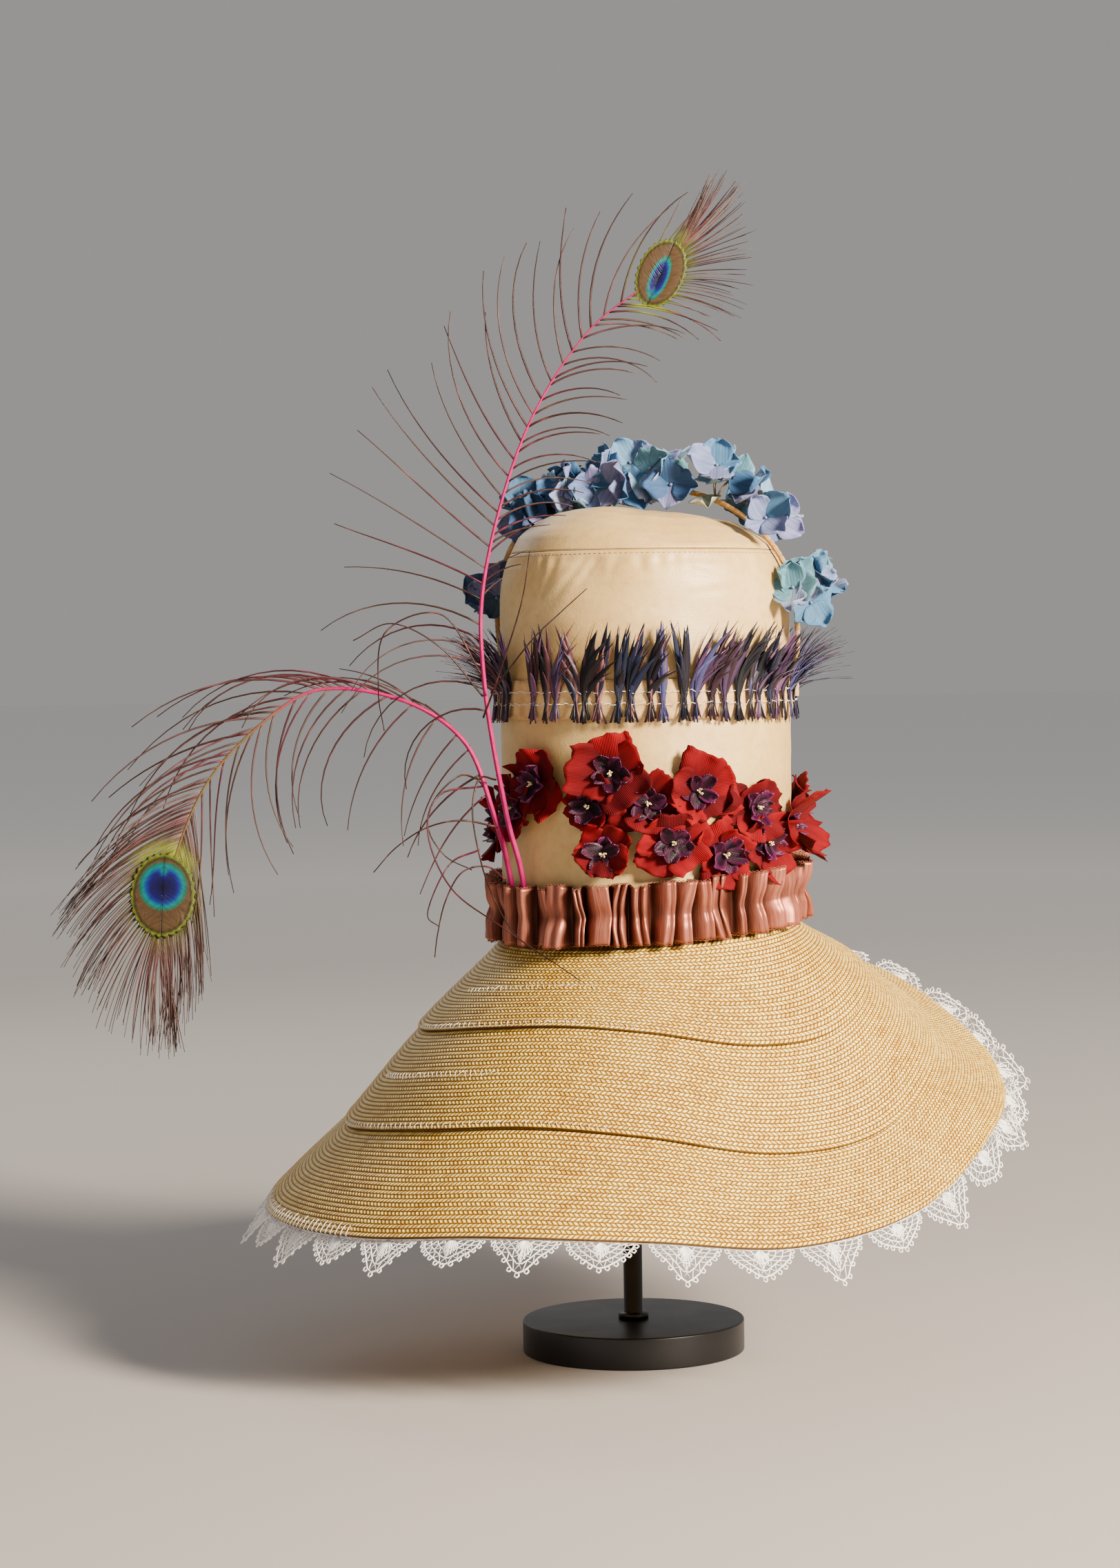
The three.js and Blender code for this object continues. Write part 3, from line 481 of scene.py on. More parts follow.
@dataclass(frozen=True)
class StrawBraid(Finish):
    """Plaited wheat straw sewn in rows: slanted split straws, with painted shade in the grooves and a painted
    ivory highlight on their crowns.
    """

    row_mm: float = 2.55
    plait_mm: float = 3.1
    slant: float = 0.75
    plumpness: float = 0.7
    groove_steepness: float = 2.4
    groove_floor: float = 0.12
    blotch_mm: float = 70.0
    tone_share: float = 0.85
    gloss: Pair = (0.38, 0.5)
    # Painted shade and highlight: colours by the plaits' height, dark in the grooves and ivory on the straws'
    # crowns.
    straw_with_painted_relief_light: Stops = (
        (0.0, "#3A2203"), (0.28, "#8E620C"), (0.55, "#DAAC34"), (0.8, "#F8D870"), (1.0, "#FFF4C2"),
    )
    tones: Stops = ((0.2, "#CEB26C"), (0.48, "#F4E6BE"), (0.7, "#FFFFFF"))

    def pattern(self, add: Adder) -> Drivers:
        """Draw the plaits: u runs along a row of braid, v across the rows.

        Args:
            add: adds a node to the material.

        Returns:
            What drives the shader's inputs, by name.
        """
        weave = add("UVMap", out="UV", uv_map=WEAVE)
        u, v = (add("SeparateXYZ", [weave], axis) for axis in "XY")
        lanes = add("Math:DIVIDE", [v, self.row_mm])
        row = add("Math:FLOOR", [lanes])
        lane = add("Math:FRACT", [lanes])
        middle = add("Math:MULTIPLY_ADD", [lane, 2.0, -1.0])
        odd = add("Math:FLOORED_MODULO", [row, 2.0])
        side = add("Math:MULTIPLY_ADD", [odd, -self.slant, self.slant / 2])
        lean = add("Math:MULTIPLY", [middle, side])
        offset = add("Math:MULTIPLY_ADD", [odd, 0.5, lean])
        plaits = add("Math:DIVIDE", [u, self.plait_mm])
        along = add("Math:ADD", [plaits, offset])
        strand = add("Math:FLOOR", [along])
        within = add("Math:FRACT", [along])
        turn = add("Math:MULTIPLY", [within, math.pi])
        rounded = add("Math:SINE", [turn])
        plump = add("Math:POWER", [rounded, self.plumpness])
        edge = add("Math:ABSOLUTE", [middle])
        steep = add("Math:POWER", [edge, self.groove_steepness])
        groove = add("Math:SUBTRACT", [1.0, steep])
        full = add("Math:MULTIPLY_ADD", [groove, 1 - self.groove_floor, self.groove_floor])
        height = add("Math:MULTIPLY", [plump, full])
        cell = add("CombineXYZ", [strand, row])
        chance = add("TexWhiteNoise", {"Vector": cell}, "Value", noise_dimensions="2D")
        place = add("TexCoord", out="Object")
        half = add("Math:MULTIPLY", [chance, 0.5])
        blotch = add("TexNoise", {"Vector": place, "Scale": per_metre(self.blotch_mm), "Detail": 4.0})
        mottled = add("Math:MULTIPLY_ADD", [blotch, 0.5, half])
        # Painted shade and highlight: the base colour follows the plaits' height, dark in the grooves, ivory
        # on top.
        base = add("ValToRGB", [height], stops=self.straw_with_painted_relief_light)
        tone = add("ValToRGB", [mottled], stops=self.tones)
        return {
            "Base Color": add("Mix", {0: self.tone_share, 6: base, 7: tone}, 2, **MULTIPLIED),
            "Roughness": add("MapRange", [chance, 0.0, 1.0, *self.gloss]),
            "Height": height,
        }


@dataclass(frozen=True)
class Thread(Finish):
    """Twisted cotton thread: matt, soft, with the slant of its plies."""

    light: str = "#FFFDFB"
    dark: str = "#EEE8E5"
    twist_mm: float = 0.8
    shade_mm: float = 9.0

    def pattern(self, add: Adder) -> Drivers:
        """Draw the plies: u runs along the thread, v is the angle round it.

        Args:
            add: adds a node to the material.

        Returns:
            What drives the shader's inputs, by name.
        """
        weave = add("UVMap", out="UV", uv_map=WEAVE)
        u, v = (add("SeparateXYZ", [weave], axis) for axis in "XY")
        turn = add("Math:MULTIPLY_ADD", [u, 2 * math.pi / self.twist_mm, v])
        ply = add("Math:SINE", [turn])
        place = add("TexCoord", out="Object")
        shade = add("TexNoise", {"Vector": place, "Scale": per_metre(self.shade_mm), "Detail": 4.0})
        return {
            "Base Color": add("ValToRGB", [shade], stops=((0.3, self.dark), (0.62, self.light))),
            "Height": add("Math:MULTIPLY_ADD", [ply, 0.5, 0.5]),
        }


@dataclass(frozen=True)
class Satin(Finish):
    """Satin-woven ribbon: long floats that shine along the fold and go dark across it."""

    metallic: float = 0.4
    anisotropy: float = 0.5
    specular_tint: str = "#FFC9AE"
    thread_mm: float = 0.5
    slub: float = 18.0
    coppers: Stops = ((0.3, "#804537"), (0.5, "#975847"), (0.72, "#AB6D58"))

    def pattern(self, add: Adder) -> Drivers:
        """Draw the floats and their slubs, with the painted shade in the folds that the tint carries.

        Args:
            add: adds a node to the material.

        Returns:
            What drives the shader's inputs, by name.
        """
        weave = add("UVMap", out="UV", uv_map=WEAVE)
        u, v = (add("SeparateXYZ", [weave], axis) for axis in "XY")
        turn = add("Math:MULTIPLY", [v, 2 * math.pi / self.thread_mm])
        rib = add("Math:SINE", [turn])
        drawn = add("Math:DIVIDE", [u, self.slub])
        lined = add("CombineXYZ", [drawn, v])
        streak = add("TexNoise", {"Vector": lined, "Scale": 1.2, "Detail": 3.0})
        base = add("ValToRGB", [streak], stops=self.coppers)
        tint = add("Attribute", out="Color", attribute_name=TINT)
        return {
            "Base Color": add("Mix", {0: 1.0, 6: base, 7: tint}, 2, **MULTIPLIED),
            "Height": add("Math:MULTIPLY_ADD", [rib, 0.5, 0.5]),
        }


@dataclass(frozen=True)
class Tape(Finish):
    """Plain-woven cotton tape that backs the tufts: tan, with crossing threads."""

    thread_mm: float = 1.0
    shade_mm: float = 7.0
    tans: Stops = ((0.3, "#B98F58"), (0.5, "#CDA56C"), (0.7, "#DCB980"))

    def pattern(self, add: Adder) -> Drivers:
        """Draw the crossing warp and weft.

        Args:
            add: adds a node to the material.

        Returns:
            What drives the shader's inputs, by name.
        """
        weave = add("UVMap", out="UV", uv_map=WEAVE)
        axes = (add("SeparateXYZ", [weave], axis) for axis in "XY")
        per_thread = 2 * math.pi / self.thread_mm
        turns = [add("Math:MULTIPLY", [axis, per_thread]) for axis in axes]
        warp, weft = (add("Math:SINE", [turn]) for turn in turns)
        cross = add("Math:MULTIPLY", [warp, weft])
        place = add("TexCoord", out="Object")
        shade = add("TexNoise", {"Vector": place, "Scale": per_metre(self.shade_mm), "Detail": 4.0})
        return {
            "Base Color": add("ValToRGB", [shade], stops=self.tans),
            "Height": add("Math:MULTIPLY_ADD", [cross, 0.5, 0.5]),
        }


@dataclass(frozen=True)
class PaintedFibre(Finish):
    """Feather, petal or cloth coloured by the tint on its vertices, with fine streaks and ribs."""

    streak_mm: float = 3.0
    streak_share: float = 0.4
    stretch: float = 4.0
    rib_mm: float = 0.7
    dark: str = "#8A7C78"

    def pattern(self, add: Adder) -> Drivers:
        """Draw long streaks and ribs over the painted tint.

        Args:
            add: adds a node to the material.

        Returns:
            What drives the shader's inputs, by name.
        """
        weave = add("UVMap", out="UV", uv_map=WEAVE)
        u, v = (add("SeparateXYZ", [weave], axis) for axis in "XY")
        drawn = add("Math:MULTIPLY", [u, 1 / self.stretch])
        lined = add("CombineXYZ", [drawn, v])
        noise = add("TexNoise", {"Vector": lined, "Scale": 1 / self.streak_mm, "Detail": 5.0})
        tone = add("ValToRGB", [noise], stops=((0.3, self.dark), (0.65, "#FFFFFF")))
        tint = add("Attribute", out="Color", attribute_name=TINT)
        turn = add("Math:MULTIPLY", [v, 2 * math.pi / self.rib_mm])
        rib = add("Math:SINE", [turn])
        return {
            "Base Color": add("Mix", {0: self.streak_share, 6: tint, 7: tone}, 2, **MULTIPLIED),
            "Height": add("Math:MULTIPLY_ADD", [rib, 0.5, noise]),
        }


@dataclass(frozen=True)
class PaperSweep(Finish):
    """Matt studio paper: pale grey under the stand and paler into the distance."""

    reach: Pair = (0.6, 5.0)
    greys: Stops = ((0.0, "#A69F9B"), (0.4, "#CFCAC7"), (1.0, "#FCFBFA"))

    def pattern(self, add: Adder) -> Drivers:
        """Draw the grey by the distance from the stand.

        Args:
            add: adds a node to the material.

        Returns:
            What drives the shader's inputs, by name.
        """
        place = add("TexCoord", out="Object")
        away = add("VectorMath:LENGTH", [place], "Value")
        far = add("MapRange", [away, *self.reach])
        return {"Base Color": add("ValToRGB", [far], stops=self.greys)}


class Finishes:
    """Every finish of the hat and its stand, made once."""

    def __init__(self) -> None:
        """Make the materials."""
        self.black = PowderCoat("powder_coated_steel_black", bump_mm=0.02).make()
        self.hide = PaleHide("tanned_hide_pale", roughness=0.44, bump_mm=0.1, sheen=0.05).make()
        self.straw = StrawBraid("plaited_wheat_straw", roughness=0.5, bump_mm=0.62, specular=0.34).make()
        self.lace = Thread("crocheted_cotton_white", roughness=0.9, sheen=0.2, bump_mm=0.08).make()
        dyes = {"light": "#E5C23A", "dark": "#C29A22"}
        self.yellow = Thread("waxed_linen_yellow", roughness=0.8, bump_mm=0.08, **dyes).make()
        self.satin = Satin("copper_satin_ribbon", roughness=0.36, bump_mm=0.02).make()
        self.tape = Tape("woven_cotton_tape", roughness=0.9, bump_mm=0.12).make()
        self.tuft = PaintedFibre(
            "dyed_hackle_feather", roughness=0.4, specular=0.3, sheen=0.03, bump_mm=0.08
        ).make()
        herl = {"streak_mm": 1.6, "streak_share": 0.45, "rib_mm": 0.8}
        self.herl = PaintedFibre(
            "iridescent_peacock_herl", roughness=0.34, specular=0.2, bump_mm=0.08, **herl
        ).make()
        nap = {"sheen": 0.04, "sheen_tint": "#FF5A50"}
        self.cloth = PaintedFibre(
            "red_woven_cloth", roughness=0.85, specular=0.15, bump_mm=0.16, rib_mm=0.9, **nap
        ).make()
        pile = {"sheen": 0.06, "sheen_tint": "#C79ACB"}
        self.velvet = PaintedFibre(
            "aubergine_velvet", roughness=0.36, specular=0.3, bump_mm=0.35, streak_mm=1.4, **pile
        ).make()
        self.stamen = PaintedFibre("starched_stamen_thread", roughness=0.7, bump_mm=0.05).make()
        fibres = {"streak_mm": 1.5, "streak_share": 0.6, "dark": "#8C6C42"}
        self.raffia = PaintedFibre("wound_raffia", roughness=0.6, bump_mm=0.12, **fibres).make()
        veins = {"streak_mm": 2.2, "rib_mm": 2.0}
        self.sepal = PaintedFibre(
            "pressed_hydrangea_sepal", roughness=0.75, sheen=0.1, bump_mm=0.07, **veins
        ).make()


@dataclass
class SubAssembly:
    """A group of pieces that are built together and share the hat's finishes."""

    finishes: Finishes


# Shared form of the hat, as in the frame


@dataclass(frozen=True)
class HatForm:
    """Driving sizes and surfaces of the crown and brim."""

    axis_x: float = 12.5
    crown_radius: float = 91.0
    seam_radius: float = 83.5
    seam_height: float = 503.0
    crown_foot: float = 264.0
    tip_slump: float = 0.045
    slump_limits: Pair = (-2.5, 4.0)
    neck_radius: float = 92.9
    neck_height: float = 266.5
    neck_lift: Pair = (5.5, 4.5)
    rim_x: float = 2.0
    rim_radius: float = 233.0
    straw: float = 1.8
    rim_heights: tuple[float, ...] = (
        168, 197, 228, 239, 229, 200, 152, 114, 99, 98, 101, 108, 107, 100, 113, 147,
    )
    meridian: Pairs = ((0, 0), (0.33, 3), (0.72, -2.5), (1, 0))
    side_profile: Pairs = (
        (264, 91), (440, 91), (462, 90.9), (474, 90.5), (484, 89.6), (493, 87.8), (499, 85.6), (503, 83.5),
    )
    tip_profile: Pairs = (
        (83.5, 503.3), (81.5, 507), (78.4, 511), (74, 515), (66, 520.5),
        (56, 525.3), (44, 527.8), (32, 529), (0, 530),
    )
    dents: tuple[tuple[float, float, float, float, float], ...] = (
        (248, 494, 16, 12, 2.2), (218, 480, 22, 18, 1.8), (300, 458, 34, 26, 1.6), (282, 517, 24, 12, 2.4),
        (95, 470, 40, 30, 2.0), (262, 520, 14, 8, 1.4), (205, 500, 12, 10, 1.2),
    )

    def on_hat(self, azimuth: Any, radius: Any, height: Any) -> Array:
        """Place points round the crown's axis.

        Args:
            azimuth: degrees counter-clockwise from +X.
            radius: distance from the axis.
            height: height above the floor.

        Returns:
            Points, last axis x, y, z.
        """
        turn = np.radians(azimuth)
        x = self.axis_x + radius * np.cos(turn)
        y = radius * np.sin(turn)
        return joined(x, y, height).astype(float)

    def lift(self, azimuth: Any) -> Any:
        """Give the lift, at an azimuth, of the tilted ring where the crown meets the brim."""
        turn = np.radians(azimuth)
        return self.neck_lift[0] * np.cos(turn) + self.neck_lift[1] * np.sin(turn)

    def rim_height(self, azimuth: Any) -> Array:
        """Give the rim's height, smooth round the closed table.

        Args:
            azimuth: degrees.

        Returns:
            The height above the floor at each azimuth.
        """
        table = np.array(self.rim_heights, float)
        count = len(table)
        place = np.mod(np.asarray(azimuth, float), 360) / (360 / count)
        i = np.floor(place).astype(int)
        return cubic(*(table[(i + k) % count] for k in (-1, 0, 1, 2)), place - i)

    def brim_chord(self, azimuth: Any, along: Any) -> Array:
        """Place points on the straight line from neck to rim.

        Args:
            azimuth: degrees.
            along: 0 at the neck, 1 at the rim.

        Returns:
            Points, last axis x, y, z.
        """
        azimuth, along = np.broadcast_arrays(np.asarray(azimuth, float), np.asarray(along, float))
        neck = self.on_hat(azimuth, self.neck_radius, self.neck_height + self.lift(azimuth))
        turn = np.radians(azimuth)
        x = self.rim_x + self.rim_radius * np.cos(turn)
        rim = np.stack([x, self.rim_radius * np.sin(turn), self.rim_height(azimuth)], -1)
        share = along[..., None]
        return neck * (1 - share) + rim * share

    def brim_normal(self, azimuth: Any, along: Any) -> Array:
        """Give the brim's outward normal.

        Args:
            azimuth: degrees.
            along: 0 at the neck, 1 at the rim.

        Returns:
            Unit vectors, last axis x, y, z.
        """
        azimuth, along = np.asarray(azimuth), np.asarray(along)
        run = self.brim_chord(azimuth, along + 0.01) - self.brim_chord(azimuth, along - 0.01)
        turn = self.brim_chord(azimuth + 1, along) - self.brim_chord(azimuth - 1, along)
        return unit(np.cross(run, turn))

    def brim_skin(self, azimuth: Any, along: Any, offset: Any) -> Array:
        """Place points on the brim, pushed along its normal.

        Args:
            azimuth: degrees.
            along: 0 at the neck, 1 at the rim.
            offset: distance from the skin.

        Returns:
            Points, last axis x, y, z.
        """
        share = np.clip(np.asarray(along, float), 0, 1)
        proud = np.zeros_like(share)
        for (low, first), (high, second) in zip(self.meridian, self.meridian[1:]):
            inside = (share >= low) & (share <= high)
            proud = np.where(inside, first + (second - first) * smooth(share, low, high), proud)
        push = self.brim_normal(azimuth, along) * (proud + offset)[..., None]
        return self.brim_chord(azimuth, along) + push

    def dent(self, azimuth: Array, height: Array) -> Array:
        """Give the inward pull of the dents at points of the crown.

        Args:
            azimuth: degrees.
            height: height above the floor.

        Returns:
            The depth at each point.
        """
        total = np.zeros(np.broadcast(azimuth, height).shape)
        for middle, level, across, tall, depth in self.dents:
            turn = np.radians(apart(azimuth, middle)) * self.crown_radius / across
            total = total + depth * np.exp(-(turn**2) - ((height - level) / tall) ** 2)
        return total


FORM = HatForm()


# Display stand


@dataclass
class Stand(SubAssembly):
    """Round weighted base, rod with its collar and the hidden flat head."""

    base_radius: float = 70.0
    base_height: float = 20.0
    edge: float = 1.2
    rod_radius: float = 6.0
    collar_radius: float = 9.5
    collar_height: float = 3.5
    head_radius: float = 40.0
    head_height: float = 6.0
    gap: float = 0.3
    soft: float = 0.6
    segments: int = 160

    def turned(self, profile: Sequence[Pair]) -> Mesher:
        """Turn a profile round the rod's axis.

        Args:
            profile: radius and height pairs from axis to axis.

        Returns:
            A mesher that holds the turned form.
        """
        turn = np.linspace(0, 2 * math.pi, self.segments, endpoint=False)
        rows = [[(r * math.cos(a), r * math.sin(a), z) for a in turn] for r, z in profile[1:-1]]
        mesher = Mesher()
        mesher.grid(np.array(rows)[::-1], closed_columns=True)
        count = len(rows)
        last = (count - 1) * self.segments
        mesher.cap(range(self.segments))
        mesher.cap([last + k for k in reversed(range(self.segments))])
        return mesher

    def rounded(self, radius: float, height: float, outward: bool) -> list[Pair]:
        """Give a quarter-round edge of the base.

        Args:
            radius: outer radius of the edge.
            height: height of the flat face.
            outward: true for the lower edge, false for the upper.

        Returns:
            Radius and height pairs going up the wall.
        """
        steps = np.linspace(0, math.pi / 2, 6)
        inset = radius - self.edge
        if outward:
            return [(inset + self.edge * math.sin(a), height + self.edge * (1 - math.cos(a))) for a in steps]
        return [(inset + self.edge * math.cos(a), height - self.edge * (1 - math.sin(a))) for a in steps]

    def build(self) -> None:
        """Make the base and the post."""
        base = [(0, 0)]
        base += self.rounded(self.base_radius, 0, True)
        base += self.rounded(self.base_radius, self.base_height, False)
        base.append((0, self.base_height))
        self.turned(base).build("stand_base_turned", self.finishes.black, ["stand_base"], "stand_black")
        foot = self.base_height + self.gap
        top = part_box("stand_post")[1].z / MM
        under = top - self.head_height
        rise = foot + self.collar_height
        soft = self.soft
        post = [
            (0, foot),
            (self.collar_radius, foot),
            (self.collar_radius, rise - soft),
            (self.collar_radius - soft, rise),
            (self.rod_radius + soft, rise),
            (self.rod_radius, rise + soft),
            (self.rod_radius, under),
            (self.head_radius - soft, under),
            (self.head_radius, under + soft),
            (self.head_radius, top - soft),
            (self.head_radius - soft, top),
            (0, top),
        ]
        self.turned(post).build("stand_post_turned", self.finishes.black, ["stand_post"], "stand_black")


# Leather crown


@dataclass
class Crown(SubAssembly):
    """Tall leather wall and its domed tip, sewn together with a turned seam."""

    leather: float = 1.6
    segments: int = 300
    rows: int = 110
    pucker_count: int = 46
    pucker_depth: float = 0.9
    folds: int = 14
    fold_depth: float = 0.16
    close_from: Pair = (440.0, 442.0)
    tip_rows: int = 60
    tip_end: float = 0.985
    back_step: int = 3
    stitch_pitch: float = 3.2
    stitch_radius: float = 0.2
    seed: int = 11
    creases: tuple[tuple[float, float, float, float, float], ...] = (
        (247, 492, 58, 34, 0.5), (238, 486, 50, 48, 0.39), (228, 488, 64, 40, 0.39),
        (257, 496, 76, 20, 0.44), (267, 497, -70, 18, 0.44), (274, 494, 12, 44, 0.39),
        (221, 462, 44, 54, 0.33), (302, 478, 8, 60, 0.28), (252, 390, 62, 46, 0.22),
        (292, 488, -16, 40, 0.33), (316, 492, 20, 36, 0.33),
    )

    def ripple(self, azimuth: Array, height: Array) -> Array:
        """Give the small folds of the soft hide.

        Args:
            azimuth: degrees.
            height: height above the floor.

        Returns:
            Outward push at each point.
        """
        rng = np.random.default_rng(self.seed)
        total = np.zeros(np.broadcast(azimuth, height).shape)
        for _ in range(self.folds):
            waves = rng.integers(2, 11)
            tall = rng.uniform(30, 110)
            phase = rng.uniform(0, 2 * math.pi, 2)
            wave = np.sin(np.radians(azimuth) * waves + phase[0] + height / tall * 2 * math.pi)
            total = total + self.fold_depth * wave * np.sin(height / tall * 3 + phase[1])
        for middle, level, slant, length, depth in self.creases:
            s = np.radians(apart(azimuth, middle)) * FORM.crown_radius
            t = height - level
            turn = math.radians(slant)
            along = (s * math.cos(turn) + t * math.sin(turn)) / length
            across = t * math.cos(turn) - s * math.sin(turn)
            fold = 0.6 * bell(across - 4.5, 3.2) - bell(across, 2.4)
            total = total + depth * fold * bell(along, 0.5)
        near = bell(height - FORM.seam_height, 9)
        turn = np.radians(azimuth)
        pucker = np.sin(turn * self.pucker_count + 3 * np.sin(turn * 5)) * (0.5 + 0.5 * np.sin(turn * 7))
        return total + self.pucker_depth * near * pucker

    def side_points(self, azimuth: Array, height: Array, inward: float) -> Array:
        """Place points on the crown's wall.

        Args:
            azimuth: degrees.
            height: height above the floor.
            inward: distance inside the outer face.

        Returns:
            Points, last axis x, y, z.
        """
        levels, radii = zip(*FORM.side_profile)
        base = np.interp(height, levels, radii)
        ease = smooth(FORM.seam_height - height, 0.5, 7)
        radius = base - ease * FORM.dent(azimuth, height) + self.ripple(azimuth, height) * ease - inward
        foot = smooth(height, FORM.crown_foot + 20, FORM.crown_foot)
        return FORM.on_hat(azimuth, radius, height + foot * FORM.lift(azimuth))

    def tip_points(self, azimuth: Array, share: Array, inward: float) -> Array:
        """Place points on the tip.

        Args:
            azimuth: degrees.
            share: 0 at the seam, 1 at the middle.
            inward: distance below the outer face.

        Returns:
            Points, last axis x, y, z.
        """
        radii, heights = (np.array(column) for column in zip(*FORM.tip_profile))
        run = np.concatenate([[0], np.cumsum(np.hypot(np.diff(radii), np.diff(heights)))])
        place = share * run[-1]
        radius = np.interp(place, run, radii)
        height = np.interp(place, run, heights)
        ease = smooth(height, FORM.seam_height + 1, FORM.seam_height + 8)
        slant = FORM.tip_slump * radius * np.cos(np.radians(azimuth)) * (height - FORM.seam_height) / 12
        slump = np.clip(slant, *FORM.slump_limits)
        calm = smooth(radius, 0, 20)
        sink = slump + calm * FORM.dent(azimuth, height)
        wave = 0.5 * calm * self.ripple(azimuth, 300 + radius)
        thin = inward * smooth(radius, 0, 30)
        level = height - ease * (sink - wave) - inward * ease
        return FORM.on_hat(azimuth, np.maximum(radius - thin * (1 - ease), 0), level)

    def seam(self) -> None:
        """Sew the tip to the wall with short slanting stitches."""
        mesher = Mesher()
        count = int(2 * math.pi * FORM.seam_radius / self.stitch_pitch)
        for i in range(count):
            azimuth = 360 * (i + np.array([0.12, 0.3, 0.5, 0.7, 0.88])) / count
            height = np.full(5, FORM.seam_height - 2.2)
            path = self.side_points(azimuth, height, np.array([0.25, -0.2, -0.3, -0.2, 0.25]))
            mesher.tube(path, self.stitch_radius, 5, mixed("#D2B183", "#E2C79B", (i * 7 % 10) / 10))
        mesher.build("crown_seam_stitches", self.finishes.raffia, [], "crown_leather")

    def build(self) -> None:
        """Make the wall, the tip and the seam."""
        azimuth = np.linspace(0, 360, self.segments, endpoint=False)[:, None]
        low = np.linspace(FORM.crown_foot, self.close_from[0], self.rows // 2)
        high = np.linspace(self.close_from[1], FORM.seam_height, self.rows // 2)
        height = np.concatenate([low, high])[None, :]
        outer = self.side_points(azimuth, height, 0.0)
        inner = self.side_points(azimuth, height[:, :: self.back_step], self.leather)
        side = Mesher()
        side.grid(beside(outer, inner[:, ::-1]), closed_rows=True, closed_columns=True)
        side.build("crown_wall_hide", self.finishes.hide, ["crown_side"], "crown_leather")
        share = np.linspace(0, self.tip_end, self.tip_rows)[None, :]
        top = self.tip_points(azimuth, share, 0.0)
        below = self.tip_points(azimuth, share[:, :: self.back_step], self.leather)
        tip = Mesher()
        tip.grid(beside(below[:, ::-1], top), closed_rows=True)
        columns = top.shape[1] + below.shape[1]
        ends = [i * columns for i in range(self.segments)]
        tip.cap(ends[::-1])
        tip.cap([i + columns - 1 for i in ends])
        tip.build("crown_tip_hide", self.finishes.hide, ["crown_tip"], "crown_leather")
        self.seam()


# Straw brim


@dataclass
class StrawTier:
    """One ring of sewn braid between two places on the brim."""

    node: str
    start: float
    end: float
    tuck: float
    rows: int


